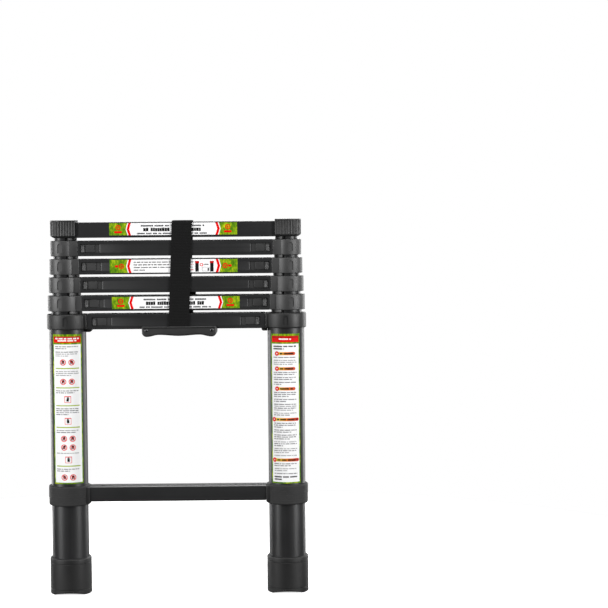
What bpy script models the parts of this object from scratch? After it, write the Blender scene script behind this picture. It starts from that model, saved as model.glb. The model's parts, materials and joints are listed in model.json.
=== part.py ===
"""Telescoping ladder with seven rungs, standing on its feet with every section pushed down.

Two legs of six nested tubes carry a stack of six rungs, and a fixed rung joins the feet. Each
section is two tubes, a hollow rung and two plastic collars. It slides straight up out of the
section below it. A spring-loaded button at each end of a rung draws a lock pin out of the next
section's tube. X is the width, Y the depth with the front at -Y, and Z is up from the floor.
"""
import math

import bmesh
import bpy

MM = 0.001

# Legs
BASE_LEG_X = 187.5 * MM         # from the middle of the ladder to each base tube's axis
SLIDING_LEG_X = 192.4 * MM      # and to the sliding tubes' axis, nearer the base tube's outer wall
SECTIONS = 6
BASE_TUBE_RADIUS = 31.5 * MM
BASE_TUBE_WALL = 1.8 * MM
SLIDING_TUBE_RADIUS = 22.4 * MM     # the widest sliding tube, in section 2
TUBE_RADIUS_STEP = 1.6 * MM     # each further section's tube is this much smaller in radius
TUBE_WALL = 1.2 * MM
TOP_TUBE_DROP = 6 * MM          # the top section's tubes end this far below its rung's top
BASE_TUBE_DROP = 5 * MM         # and the base tubes, under the plate that guides section 2
BUSH_CLEARANCE = 0.4 * MM
BUSH_HEIGHT = 14 * MM
BUSH_LIFT = 2 * MM              # from the tube's lower end to the bush
TRAVEL = 266 * MM               # how far each section slides out
TUBE_OVERLAP = 36 * MM          # length of tube that stays inside when a section is out

# Rung stack
BASE_RUNG_TOP = 482.8 * MM
STACK_PITCH = 31.3 * MM         # from one rung's top to the next with the ladder closed
RUNG_HEIGHT = 26.3 * MM
RUNG_DEPTH = 38 * MM
RUNG_WALL = 1.5 * MM
RUNG_CHAMFER = 1.5 * MM

# Collars
BASE_RING_RADIUS = 35 * MM
SLIDING_RING_RADIUS = 28.2 * MM     # section 2's collars
RING_RADIUS_STEP = 1.9 * MM
BRACKET_REACH = 3.5 * MM        # how far the bracket stands inward of its collar's ring
BASE_BRACKET_REACH = 0.2 * MM
TONGUE_LENGTH = 42 * MM
TONGUE_HEIGHT = 3 * MM
LUG_HALF_ANGLE = math.radians(65)
LUG_HALF_DEPTH = 12 * MM
LUG_INSET = 0.8 * MM
LUG_REACH = 1.2 * MM            # how far its square nose stands inward of the collar's ring
TAB_START = 30 * MM             # the tab under the base rung's end, from the leg's axis
TAB_END = 41.5 * MM
TAB_CHAMFER = 2 * MM
TAB_DROP = 4.8 * MM             # its lower face, below the rung's
CAP_RADIUS = 22.6 * MM
CAP_FLAT = 22.2 * MM            # from the leg's axis to the cap's flat side, facing the rung
CAP_RISE = 3.7 * MM             # the cap's top above its rung's top

# Release buttons and lock pins
WINDOW_LENGTH = 33 * MM
WINDOW_HEIGHT = 14 * MM
WINDOW_SETBACK = 4.5 * MM       # from the rung's end to each window
BASE_WINDOW_SETBACK = 8.8 * MM
BUTTON_REST_GAP = 0.6 * MM      # from the window's outer end to the button
BUTTON_LENGTH = 24 * MM
BUTTON_HEIGHT = 16 * MM
BUTTON_THICKNESS = 3 * MM
GRIP_LENGTH = 7 * MM
GRIP_HEIGHT = 12.6 * MM
GRIP_PROUD = 1.5 * MM           # the thumb grip in front of the rung's face
ARM_LENGTH = 6 * MM
ARM_HEIGHT = 11 * MM
ARM_SETBACK = 4 * MM
ARM_END_Y = 5 * MM
PIN_RADIUS = 3 * MM
PIN_HOLE_RADIUS = 3.5 * MM
PIN_TAIL = 2 * MM
PIN_CLEARANCE = 0.4 * MM        # from the pin's tip to the next section's tube

# Bottom rung and its collars
BOTTOM_RUNG_TOP = 185 * MM
BOTTOM_RUNG_HEIGHT = 25 * MM
BOTTOM_COLLAR_RADIUS = 36 * MM
BOTTOM_COLLAR_TOP = 187.5 * MM
BOTTOM_COLLAR_HEIGHT = 33.5 * MM
TREAD_HOLE_RADIUS = 3.3 * MM
TREAD_HOLE_X = 130 * MM

# Feet
FOOT_RADIUS = 35.5 * MM
FOOT_HEIGHT = 63 * MM
FOOT_FLOOR = 12 * MM            # rubber under the tube's end
FOOT_EDGE = 3 * MM
SOLE_PAD_X = 26 * MM            # the pads lie beyond this distance from the leg's axis
SOLE_ARCH = 3 * MM
SOLE_HALF_DEPTH = 22 * MM       # the pads' depth, before the sole turns up
SOLE_TURN_UP = 5 * MM

# Carrying handle
HANDLE_X = 5.3 * MM             # its middle, to the right of the ladder's
HANDLE_HALF_LENGTH = 63.8 * MM
HANDLE_LIP = 5 * MM             # how far it stands in front of the rung, and behind
HANDLE_TOP = 461 * MM
HANDLE_LOBE_Z = 443 * MM
HANDLE_VALLEY_Z = 446.3 * MM
HANDLE_MIDDLE_Z = 444.4 * MM
HANDLE_LOBE_X = 55.5 * MM
HANDLE_VALLEY_X = 34.5 * MM
HANDLE_CORNER = 8 * MM
SLOT_LOW_X, SLOT_HIGH_X = -21.5 * MM, 19.5 * MM       # from the handle's middle
SLOT_WIDTH = 3.4 * MM           # from the rung's face to the slot's outer wall
SLOT_FLOOR = 448 * MM

# Strap
STRAP_WIDTH = 34.8 * MM
STRAP_THICKNESS = 1.8 * MM
STRAP_CLEARANCE = 0.8 * MM
STRAP_BEND = 3 * MM
STRAP_END = 450 * MM            # height of both ends
STRAP_TOP_X = 12.1 * MM           # middle of the strap at the top rung
STRAP_FOOT_X = 4.1 * MM           # middle of the strap at its ends

GAP = 0.3 * MM                  # between pieces that touch
BUTTON_FRONT = RUNG_DEPTH / 2 - RUNG_WALL - GAP     # depth of the button's plate, behind the wall
SLIDING_TUBE_BOTTOM = -STACK_PITCH - TUBE_OVERLAP - TRAVEL      # below the section's rung top
SEGMENTS = 28
SMALL_SEGMENTS = 12
SMOOTH_ANGLE = math.radians(35)

MATERIALS = {                   # colour, roughness, metallic
    "leg_tube": ((0.045, 0.045, 0.047), 0.34, 0.75),
    "rung_tube": ((0.032, 0.032, 0.033), 0.45, 0.6),
    "collar_plastic": ((0.040, 0.040, 0.041), 0.5, 0.0),
    "button_plastic": ((0.025, 0.025, 0.026), 0.55, 0.0),
    "bush_nylon": ((0.30, 0.30, 0.29), 0.5, 0.0),
    "pin_steel": ((0.56, 0.57, 0.58), 0.3, 1.0),
    "foot_rubber": ((0.030, 0.030, 0.030), 0.7, 0.0),
    "handle_plastic": ((0.036, 0.036, 0.037), 0.5, 0.0),
    "strap_webbing": ((0.010, 0.010, 0.010), 0.85, 0.0),
}


def clear_scene():
    for old in list(bpy.data.objects):
        bpy.data.objects.remove(old, do_unlink=True)


def make_materials():
    made = {}
    for name, (colour, roughness, metallic) in MATERIALS.items():
        material = bpy.data.materials.new(name)
        material.use_nodes = True
        shader = material.node_tree.nodes["Principled BSDF"]
        shader.inputs["Base Color"].default_value = (*colour, 1)
        shader.inputs["Roughness"].default_value = roughness
        shader.inputs["Metallic"].default_value = metallic
        made[name] = material
    return made


# ---------------------------------------------------------------- meshes

def finish_mesh(name, bm):
    bmesh.ops.remove_doubles(bm, verts=bm.verts, dist=1e-6)
    bmesh.ops.recalc_face_normals(bm, faces=bm.faces)
    mesh = bpy.data.meshes.new(name)
    bm.to_mesh(mesh)
    bm.free()
    mesh.shade_smooth()
    mesh.set_sharp_from_angle(angle=SMOOTH_ANGLE)
    return mesh


def box_mesh(name, low, high):
    bm = bmesh.new()
    bmesh.ops.create_cube(bm, size=1)
    for vert in bm.verts:
        for i in range(3):
            vert.co[i] = low[i] if vert.co[i] < 0 else high[i]
    return finish_mesh(name, bm)


def prism_mesh(name, outline, start, end, axis):
    """An outline of two coordinates, extruded from start to end along axis 0, 1 or 2."""
    bm = bmesh.new()
    across = [i for i in range(3) if i != axis]
    verts = []
    for point in outline:
        position = [start] * 3
        position[across[0]], position[across[1]] = point
        verts.append(bm.verts.new(position))
    face = bm.faces.new(verts)
    extruded = bmesh.ops.extrude_face_region(bm, geom=[face])
    shift = [0, 0, 0]
    shift[axis] = end - start
    moved = [item for item in extruded["geom"] if isinstance(item, bmesh.types.BMVert)]
    bmesh.ops.translate(bm, verts=moved, vec=shift)
    return finish_mesh(name, bm)


def turned_mesh(name, profile, closed, segments=SEGMENTS):
    """A profile of (radius, height) points turned about Z."""
    bm = bmesh.new()
    verts = [bm.verts.new((radius, 0, height)) for radius, height in profile]
    pairs = list(zip(verts, verts[1:]))
    if closed:
        pairs.append((verts[-1], verts[0]))
    edges = [bm.edges.new(pair) for pair in pairs]
    bmesh.ops.spin(bm, geom=verts + edges, cent=(0, 0, 0), axis=(0, 0, 1),
                   angle=math.tau, steps=segments, use_merge=True)
    return finish_mesh(name, bm)


def pipe_mesh(name, inner, outer, low, high):
    return turned_mesh(name, [(outer, low), (outer, high), (inner, high), (inner, low)], True)


def rod_mesh(name, radius, low, high, segments=SEGMENTS):
    return turned_mesh(name, [(0, low), (radius, low), (radius, high), (0, high)], False, segments)


def chamfered_rectangle(half_width, half_height, chamfer):
    points = []
    for sx, sy in ((1, 1), (-1, 1), (-1, -1), (1, -1)):
        on_side = (sx * half_width, sy * (half_height - chamfer))
        on_top = (sx * (half_width - chamfer), sy * half_height)
        points += [on_side, on_top] if sx * sy > 0 else [on_top, on_side]
    return points


def arc(centre, radius, start, end, steps):
    """Points from angle start to angle end."""
    points = []
    for i in range(steps + 1):
        angle = start + (end - start) * i / steps
        points.append((centre[0] + radius * math.cos(angle), centre[1] + radius * math.sin(angle)))
    return points


# ---------------------------------------------------------------- objects

def add_object(name, mesh, parent, location=(0, 0, 0)):
    item = bpy.data.objects.new(name, mesh)
    bpy.context.scene.collection.objects.link(item)
    item.parent = parent
    item.location = location
    return item


def add_piece(name, mesh, material, parent, location=(0, 0, 0)):
    mesh.materials.append(material)
    return add_object(name, mesh, parent, location)


def shape(piece, mesh, operation, location=(0, 0, 0), rotation=(0, 0, 0)):
    """Adds or cuts another shape, given in the piece's own coordinates."""
    tool = add_object(mesh.name, mesh, piece, location)
    tool.rotation_euler = rotation
    tool.hide_render = True
    tool.display_type = "WIRE"
    modifier = piece.modifiers.new(mesh.name, "BOOLEAN")
    modifier.operation = operation
    modifier.solver = "EXACT"
    modifier.object = tool


def add(piece, mesh, **place):
    shape(piece, mesh, "UNION", **place)


def cut(piece, mesh, **place):
    shape(piece, mesh, "DIFFERENCE", **place)


# ---------------------------------------------------------------- dimensions worked out

def leg_x(section):
    """Distance from the middle of the ladder to the section's tube axis."""
    return BASE_LEG_X if section == 1 else SLIDING_LEG_X


def tube_radius(section):
    if section == 1:
        return BASE_TUBE_RADIUS
    return SLIDING_TUBE_RADIUS - TUBE_RADIUS_STEP * (section - 2)


def ring_radius(section):
    if section == SECTIONS:
        return CAP_RADIUS
    if section == 1:
        return BASE_RING_RADIUS
    return SLIDING_RING_RADIUS - RING_RADIUS_STEP * (section - 2)


def window_end(section):
    """Distance from the middle of the ladder to a button window's outer end."""
    setback = BASE_WINDOW_SETBACK if section == 1 else WINDOW_SETBACK
    return leg_x(section) - bracket_face(section) - setback


def rung_top(section):
    return BASE_RUNG_TOP + STACK_PITCH * (section - 1)


def bracket_face(section):
    """Distance from the tube's axis to the face that the rung's end meets."""
    if section == SECTIONS:
        return CAP_FLAT
    reach = BASE_BRACKET_REACH if section == 1 else BRACKET_REACH
    return ring_radius(section) + reach


def rung_half_length(section):
    return leg_x(section) - bracket_face(section) - GAP


# ---------------------------------------------------------------- legs and rungs

def make_tube(section, side, material, parent):
    """The tube's origin is on its axis, level with its rung's top."""
    radius = tube_radius(section)
    wall = BASE_TUBE_WALL if section == 1 else TUBE_WALL
    bottom = FOOT_FLOOR + GAP - rung_top(1) if section == 1 else SLIDING_TUBE_BOTTOM
    top = {1: -BASE_TUBE_DROP, SECTIONS: -TOP_TUBE_DROP}.get(section, 0)
    name = f"tube_{section}_{'left' if side < 0 else 'right'}"
    mesh = pipe_mesh(name, radius - wall, radius, bottom, top)
    piece = add_piece(name, mesh, material, parent, (side * leg_x(section), 0, 0))
    hole_heights = []
    if section < SECTIONS:
        hole_heights.append(-RUNG_HEIGHT / 2)
    if section > 1:
        hole_heights.append(-STACK_PITCH - RUNG_HEIGHT / 2 - TRAVEL)
    for height in hole_heights:
        hole = rod_mesh(f"{name}_hole", PIN_HOLE_RADIUS, 0, radius * 1.5, SMALL_SEGMENTS)
        cut(piece, hole, location=(0, 0, height), rotation=(0, -side * math.pi / 2, 0))


def make_bush(side, material, parent):
    """The block on the lower end of section 2's tube, which guides it in the wider base tube."""
    low = SLIDING_TUBE_BOTTOM + BUSH_LIFT
    outer = BASE_TUBE_RADIUS - BASE_TUBE_WALL - BUSH_CLEARANCE
    name = f"end_bush_{'left' if side < 0 else 'right'}"
    mesh = rod_mesh(name, outer, low, low + BUSH_HEIGHT)
    piece = add_piece(name, mesh, material, parent, (side * BASE_LEG_X, 0, 0))
    bore = rod_mesh("bush_bore", tube_radius(2) + GAP, low - 5 * MM, low + BUSH_HEIGHT + 5 * MM)
    cut(piece, bore, location=(side * (SLIDING_LEG_X - BASE_LEG_X), 0, 0))


def make_rung(name, half_length, height, material, parent, top=0):
    """A hollow rung along X, with its top face at the given height."""
    half_height = height / 2
    outer = chamfered_rectangle(RUNG_DEPTH / 2, half_height, RUNG_CHAMFER)
    inner = chamfered_rectangle(RUNG_DEPTH / 2 - RUNG_WALL, half_height - RUNG_WALL, RUNG_CHAMFER / 2)
    bm = bmesh.new()
    loops = []
    for x, outline in ((-half_length, outer), (half_length, outer),
                       (half_length, inner), (-half_length, inner)):
        loops.append([bm.verts.new((x, y, z - half_height)) for y, z in outline])
    for first, second in zip(loops, loops[1:] + loops[:1]):
        for i in range(len(outer)):
            j = (i + 1) % len(outer)
            bm.faces.new((first[i], first[j], second[j], second[i]))
    return add_piece(name, finish_mesh(name, bm), material, parent, (0, 0, top))


def cut_button_windows(rung, section):
    """Slots in the front wall, near the rung's ends."""
    end = window_end(section)
    middle = -RUNG_HEIGHT / 2
    for side in (-1, 1):
        near, far = side * (end - WINDOW_LENGTH), side * end
        low = (min(near, far), -RUNG_DEPTH / 2 - 1 * MM, middle - WINDOW_HEIGHT / 2)
        high = (max(near, far), -RUNG_DEPTH / 2 + RUNG_WALL + 1 * MM, middle + WINDOW_HEIGHT / 2)
        cut(rung, box_mesh("button_window", low, high))


# ---------------------------------------------------------------- collars

def collar_outline(radius, face, half_depth):
    """A ring's outer circle with a straight-sided bracket towards -X, seen from above."""
    meet = math.asin(half_depth / radius)
    round_side = arc((0, 0), radius, meet - math.pi, math.pi - meet, SEGMENTS - 4)
    return round_side + [(-face, half_depth), (-face, -half_depth)]


def cap_outline(radius, face):
    """Half a circle with straight sides running on towards -X, seen from above."""
    round_side = arc((0, 0), radius, -math.pi / 2, math.pi / 2, SEGMENTS // 2)
    return round_side + [(-face, radius), (-face, -radius)]


def add_tongues(collar, section_face, rung_height):
    """Two flat tongues that hold the rung, one under its top wall and one on its bottom wall."""
    half_depth = RUNG_DEPTH / 2 - RUNG_WALL - 0.5 * MM
    edge = rung_height / 2 - RUNG_WALL - GAP
    for sign in (-1, 1):
        heights = sorted((sign * edge, sign * (edge - TONGUE_HEIGHT)))
        low = (-section_face - TONGUE_LENGTH, -half_depth, heights[0] - rung_height / 2)
        high = (-section_face + 4 * MM, half_depth, heights[1] - rung_height / 2)
        add(collar, box_mesh("tongue", low, high))


def lug_outline(radius, face):
    """The spacer under the inner half of a collar."""
    outer = radius - LUG_INSET
    points = arc((0, 0), outer, math.pi - LUG_HALF_ANGLE, math.pi + LUG_HALF_ANGLE, 10)
    kept = [point for point in points if abs(point[1]) > LUG_HALF_DEPTH]
    half = len(kept) // 2
    corner_x = -min(radius + LUG_REACH, face - LUG_INSET / 2)
    square = [(corner_x, LUG_HALF_DEPTH), (corner_x, -LUG_HALF_DEPTH)]
    return kept[:half] + square + kept[half:] + [(0, -outer * 0.5), (0, outer * 0.5)]


def make_collar(section, side, material, parent):
    """The ring round a tube's top end, with the bracket that carries the rung."""
    radius, face = ring_radius(section), bracket_face(section)
    is_cap = section == SECTIONS
    name = f"{'top_cap' if is_cap else f'collar_{section}'}_{'left' if side < 0 else 'right'}"
    outline = cap_outline(radius, face) if is_cap else collar_outline(radius, face, RUNG_DEPTH / 2)
    mesh = prism_mesh(name, outline, -RUNG_HEIGHT, CAP_RISE if is_cap else 0, 2)
    piece = add_piece(name, mesh, material, parent, (side * leg_x(section), 0, 0))
    piece.rotation_euler = (0, 0, 0 if side > 0 else math.pi)
    add_tongues(piece, face, RUNG_HEIGHT)
    if section == 1:
        add_tab(piece)
    else:
        lug_bottom = -STACK_PITCH + GAP
        add(piece, prism_mesh("lug", lug_outline(radius, face), lug_bottom, 1 * MM - RUNG_HEIGHT, 2))
    bore_top = {1: GAP - BASE_TUBE_DROP, SECTIONS: GAP - TOP_TUBE_DROP}.get(section, 5 * MM)
    cut(piece, rod_mesh("tube_bore", tube_radius(section) + GAP, -2 * RUNG_HEIGHT, bore_top))
    if section == 1:
        guide = rod_mesh("guide_bore", tube_radius(2) + GAP, -2 * BASE_TUBE_DROP, 5 * MM)
        cut(piece, guide, location=(SLIDING_LEG_X - BASE_LEG_X, 0, 0))
    if not is_cap:
        hole = rod_mesh("pin_bore", PIN_HOLE_RADIUS, 0, face + 5 * MM, SMALL_SEGMENTS)
        cut(piece, hole, location=(0, 0, -RUNG_HEIGHT / 2), rotation=(0, -math.pi / 2, 0))


def add_tab(collar):
    """The base collar's tab, which runs on a little way under the rung."""
    top, bottom = -RUNG_HEIGHT - GAP, -RUNG_HEIGHT - TAB_DROP
    outline = [(-TAB_START, 1 * MM - RUNG_HEIGHT), (-BASE_RING_RADIUS, 1 * MM - RUNG_HEIGHT),
               (-BASE_RING_RADIUS, top), (-TAB_END, top), (-TAB_END, bottom + TAB_CHAMFER),
               (TAB_CHAMFER - TAB_END, bottom), (-TAB_START, bottom)]
    add(collar, prism_mesh("tab", outline, -LUG_HALF_DEPTH, LUG_HALF_DEPTH, 1))


def make_bottom_collar(side, material, parent):
    name = f"bottom_collar_{'left' if side < 0 else 'right'}"
    radius = BOTTOM_COLLAR_RADIUS
    low = BOTTOM_COLLAR_TOP - BOTTOM_COLLAR_HEIGHT
    mesh = rod_mesh(name, radius, low, BOTTOM_COLLAR_TOP)
    piece = add_piece(name, mesh, material, parent, (side * BASE_LEG_X, 0, 0))
    piece.rotation_euler = (0, 0, 0 if side > 0 else math.pi)
    half_depth = RUNG_DEPTH / 2 + 1.5 * MM
    face = radius + BASE_BRACKET_REACH
    add(piece, box_mesh("bracket", (-face, -half_depth, low + 3 * MM), (0, half_depth, BOTTOM_RUNG_TOP)))
    edge = BOTTOM_RUNG_HEIGHT / 2 - RUNG_WALL - GAP
    middle = BOTTOM_RUNG_TOP - BOTTOM_RUNG_HEIGHT / 2
    half_tongue = RUNG_DEPTH / 2 - RUNG_WALL - 0.5 * MM
    tongue_low = (-face - TONGUE_LENGTH, -half_tongue, middle - edge)
    add(piece, box_mesh("tongue", tongue_low, (-face + 4 * MM, half_tongue, middle + edge)))
    cut(piece, rod_mesh("tube_bore", BASE_TUBE_RADIUS + GAP, low - 5 * MM, BOTTOM_COLLAR_TOP + 5 * MM))


# ---------------------------------------------------------------- buttons

def make_button(section, side, materials, parent):
    """A sliding thumb button and the lock pin that it draws, in the end of a rung."""
    hand = "left" if side < 0 else "right"
    outer_end = window_end(section) - BUTTON_REST_GAP
    pivot = add_object(f"button_{section}_{hand}_slide", None, parent,
                       (side * outer_end, 0, -RUNG_HEIGHT / 2))

    def block(name, x_out, length, y_low, y_high, height):
        xs = sorted((-side * x_out, -side * (x_out + length)))
        return box_mesh(name, (xs[0], y_low, -height / 2), (xs[1], y_high, height / 2))

    front = -BUTTON_FRONT
    back = front + BUTTON_THICKNESS
    name = f"release_button_{section}_{hand}"
    plate = block(name, 0, BUTTON_LENGTH, front, back, BUTTON_HEIGHT)
    piece = add_piece(name, plate, materials["button_plastic"], pivot)
    grip_front = -RUNG_DEPTH / 2 - GRIP_PROUD
    add(piece, block("thumb_grip", 0.1 * MM, GRIP_LENGTH, grip_front, front + 1 * MM, GRIP_HEIGHT))
    add(piece, block("pin_arm", ARM_SETBACK, ARM_LENGTH, back - 1 * MM, ARM_END_Y, ARM_HEIGHT))
    hole = rod_mesh("pin_seat", PIN_HOLE_RADIUS, 0, 30 * MM, SMALL_SEGMENTS)
    cut(piece, hole, rotation=(0, -side * math.pi / 2, 0))

    tip = leg_x(section + 1) - tube_radius(section + 1) - PIN_CLEARANCE - outer_end
    tail = ARM_SETBACK + ARM_LENGTH + PIN_TAIL
    pin_name = f"lock_pin_{section}_{hand}"
    pin_mesh = rod_mesh(pin_name, PIN_RADIUS, -tail, tip, SMALL_SEGMENTS)
    pin = add_piece(pin_name, pin_mesh, materials["pin_steel"], pivot)
    pin.rotation_euler = (0, side * math.pi / 2, 0)


# ---------------------------------------------------------------- feet, handle and strap

def make_foot(side, material, parent):
    """A rubber cup whose sole has two pads, a shallow arch and edges that turn up."""
    name = f"foot_{'left' if side < 0 else 'right'}"
    inner = BASE_TUBE_RADIUS + GAP
    edge_centre = (FOOT_RADIUS - FOOT_EDGE, FOOT_HEIGHT - FOOT_EDGE)
    profile = [(0, 0), (FOOT_RADIUS, 0)] + arc(edge_centre, FOOT_EDGE, 0, math.pi / 2, 3)
    profile += [(inner, FOOT_HEIGHT), (inner, FOOT_FLOOR), (0, FOOT_FLOOR)]
    piece = add_piece(name, turned_mesh(name, profile, False), material, parent, (side * BASE_LEG_X, 0, 0))
    arch_radius = (SOLE_PAD_X ** 2 + SOLE_ARCH ** 2) / (2 * SOLE_ARCH)
    half_angle = math.asin(SOLE_PAD_X / arch_radius)
    centre = (0, SOLE_ARCH - arch_radius)
    arch = arc(centre, arch_radius, math.pi / 2 + half_angle, math.pi / 2 - half_angle, 8)
    arch += [(SOLE_PAD_X, -5 * MM), (-SOLE_PAD_X, -5 * MM)]
    cut(piece, prism_mesh("sole_arch", arch, -2 * FOOT_RADIUS, 2 * FOOT_RADIUS, 1))
    beyond = FOOT_RADIUS + 10 * MM
    slope = SOLE_TURN_UP / (FOOT_RADIUS - SOLE_HALF_DEPTH)
    rise = slope * (beyond - SOLE_HALF_DEPTH)
    for sign in (-1, 1):
        wedge = [(sign * SOLE_HALF_DEPTH, 0), (sign * beyond, rise),
                 (sign * beyond, -5 * MM), (sign * SOLE_HALF_DEPTH, -5 * MM)]
        cut(piece, prism_mesh("sole_turn_up", wedge, -2 * FOOT_RADIUS, 2 * FOOT_RADIUS, 0))


def handle_underside():
    """The wavy finger grip from the left end to the right, as (x, z) points."""
    key = [(-HANDLE_LOBE_X, HANDLE_LOBE_Z), (-HANDLE_VALLEY_X, HANDLE_VALLEY_Z), (0, HANDLE_MIDDLE_Z),
           (HANDLE_VALLEY_X, HANDLE_VALLEY_Z), (HANDLE_LOBE_X, HANDLE_LOBE_Z)]
    points = []
    for (x0, z0), (x1, z1) in zip(key, key[1:]):
        for i in range(5):
            blend = (1 - math.cos(math.pi * i / 5)) / 2
            points.append((x0 + (x1 - x0) * i / 5, z0 + (z1 - z0) * blend))
    return points + [key[-1]]


def make_handle(material, parent):
    """The carrying handle that clips over the base rung's lower edges."""
    corner_z = HANDLE_LOBE_Z + HANDLE_CORNER
    end_x = HANDLE_HALF_LENGTH
    left = arc((HANDLE_CORNER - end_x, corner_z), HANDLE_CORNER, math.pi, 1.45 * math.pi, 4)
    right = arc((end_x - HANDLE_CORNER, corner_z), HANDLE_CORNER, 1.55 * math.pi, math.tau, 4)
    outline = left + handle_underside() + right + [(end_x, HANDLE_TOP), (-end_x, HANDLE_TOP)]
    half_depth = RUNG_DEPTH / 2 + HANDLE_LIP
    mesh = prism_mesh("carrying_handle", outline, -half_depth, half_depth, 1)
    piece = add_piece("carrying_handle", mesh, material, parent, (HANDLE_X, 0, 0))
    pocket = RUNG_DEPTH / 2 + GAP
    pocket_floor = BASE_RUNG_TOP - RUNG_HEIGHT - GAP
    cut(piece, box_mesh("rung_pocket", (-1, -pocket, pocket_floor), (1, pocket, 1)))
    for sign in (-1, 1):
        ys = sorted((sign * (pocket - 1 * MM), sign * (RUNG_DEPTH / 2 + SLOT_WIDTH)))
        cut(piece, box_mesh("strap_slot", (SLOT_LOW_X, ys[0], SLOT_FLOOR), (SLOT_HIGH_X, ys[1], 1)))


def make_strap(material, parent):
    """One band up the front of the stack, over the top rung and down its back."""
    half_depth = RUNG_DEPTH / 2 + STRAP_CLEARANCE + STRAP_THICKNESS / 2
    crest = rung_top(SECTIONS) + STRAP_CLEARANCE + STRAP_THICKNESS / 2
    turn = crest - STRAP_BEND
    path = [(-half_depth, STRAP_END)]
    path += arc((STRAP_BEND - half_depth, turn), STRAP_BEND, math.pi, math.pi / 2, 4)
    path += arc((half_depth - STRAP_BEND, turn), STRAP_BEND, math.pi / 2, 0, 4)
    path += [(half_depth, STRAP_END)]
    bm = bmesh.new()
    rings = []
    for i, (y, z) in enumerate(path):
        before, after = path[max(i - 1, 0)], path[min(i + 1, len(path) - 1)]
        along = math.atan2(after[1] - before[1], after[0] - before[0])
        normal = (-math.sin(along), math.cos(along))
        share = (z - STRAP_END) / (crest - STRAP_END)
        middle = STRAP_FOOT_X + (STRAP_TOP_X - STRAP_FOOT_X) * share
        ring = []
        for across, out in ((-1, -1), (1, -1), (1, 1), (-1, 1)):
            x = middle + across * STRAP_WIDTH / 2
            offset = out * STRAP_THICKNESS / 2
            ring.append(bm.verts.new((x, y + normal[0] * offset, z + normal[1] * offset)))
        rings.append(ring)
    for first, second in zip(rings, rings[1:]):
        for i in range(4):
            j = (i + 1) % 4
            bm.faces.new((first[i], first[j], second[j], second[i]))
    bm.faces.new(rings[0])
    bm.faces.new(rings[-1])
    piece = add_piece("strap", finish_mesh("strap", bm), material, parent)
    piece.location = (0, 0, -rung_top(SECTIONS))


# ---------------------------------------------------------------- the ladder

def build():
    clear_scene()
    materials = make_materials()
    base = add_object("base", None, None)
    parent = base
    for section in range(1, SECTIONS + 1):
        step = rung_top(1) if section == 1 else STACK_PITCH
        carrier = add_object(f"section_{section}_slide", None, parent, (0, 0, step))
        rung = make_rung(f"rung_{section}", rung_half_length(section), RUNG_HEIGHT,
                         materials["rung_tube"], carrier)
        for side in (-1, 1):
            make_tube(section, side, materials["leg_tube"], carrier)
            make_collar(section, side, materials["collar_plastic"], carrier)
            if section < SECTIONS:
                make_button(section, side, materials, carrier)
            if section == 2:
                make_bush(side, materials["bush_nylon"], carrier)
        if section < SECTIONS:
            cut_button_windows(rung, section)
        parent = carrier
    make_strap(materials["strap_webbing"], parent)

    bottom_half = BASE_LEG_X - BOTTOM_COLLAR_RADIUS - BASE_BRACKET_REACH - GAP
    bottom = make_rung("bottom_rung", bottom_half, BOTTOM_RUNG_HEIGHT, materials["rung_tube"],
                       base, BOTTOM_RUNG_TOP)
    for side in (-1, 1):
        make_bottom_collar(side, materials["collar_plastic"], base)
        make_foot(side, materials["foot_rubber"], base)
        hole = rod_mesh("tread_hole", TREAD_HOLE_RADIUS, -2 * RUNG_WALL, 5 * MM, SMALL_SEGMENTS)
        cut(bottom, hole, location=(side * TREAD_HOLE_X, 0, 0))
    make_handle(materials["handle_plastic"], base)


build()
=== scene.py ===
import json
import math
import random

import bmesh
import bpy
from mathutils import Matrix, Vector


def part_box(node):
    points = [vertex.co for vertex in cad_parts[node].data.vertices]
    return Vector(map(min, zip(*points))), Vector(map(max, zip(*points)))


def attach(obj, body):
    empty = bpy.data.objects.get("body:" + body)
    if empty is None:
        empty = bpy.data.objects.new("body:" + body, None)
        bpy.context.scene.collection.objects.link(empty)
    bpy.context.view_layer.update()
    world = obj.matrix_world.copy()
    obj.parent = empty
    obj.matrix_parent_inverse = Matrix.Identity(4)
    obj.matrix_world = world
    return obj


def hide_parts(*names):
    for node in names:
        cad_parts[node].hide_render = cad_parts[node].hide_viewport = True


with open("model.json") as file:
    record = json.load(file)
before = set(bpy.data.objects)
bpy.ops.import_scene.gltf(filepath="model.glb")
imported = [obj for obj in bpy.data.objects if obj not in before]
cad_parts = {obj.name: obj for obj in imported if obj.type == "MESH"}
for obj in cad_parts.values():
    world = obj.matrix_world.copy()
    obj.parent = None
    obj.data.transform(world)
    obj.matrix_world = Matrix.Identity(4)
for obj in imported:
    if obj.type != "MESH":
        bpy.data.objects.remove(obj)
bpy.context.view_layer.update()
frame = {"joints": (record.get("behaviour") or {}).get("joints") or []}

MM = 0.001
SECTIONS = 6
ROUND = 96                      # sides of a tube or a collar
HOLE_SIDES = 32
SMOOTH_ANGLE = math.radians(32)
SIDES = {-1: "left", 1: "right"}


# ================================================================ sizes read from the frame

def size(node):
    low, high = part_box(node)
    return high - low


def middle(node):
    low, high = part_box(node)
    return (low + high) / 2


def joint_travel(name):
    joint = next(j for j in frame["joints"] if j["name"] == name)
    return joint["range_m"][1]


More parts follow.
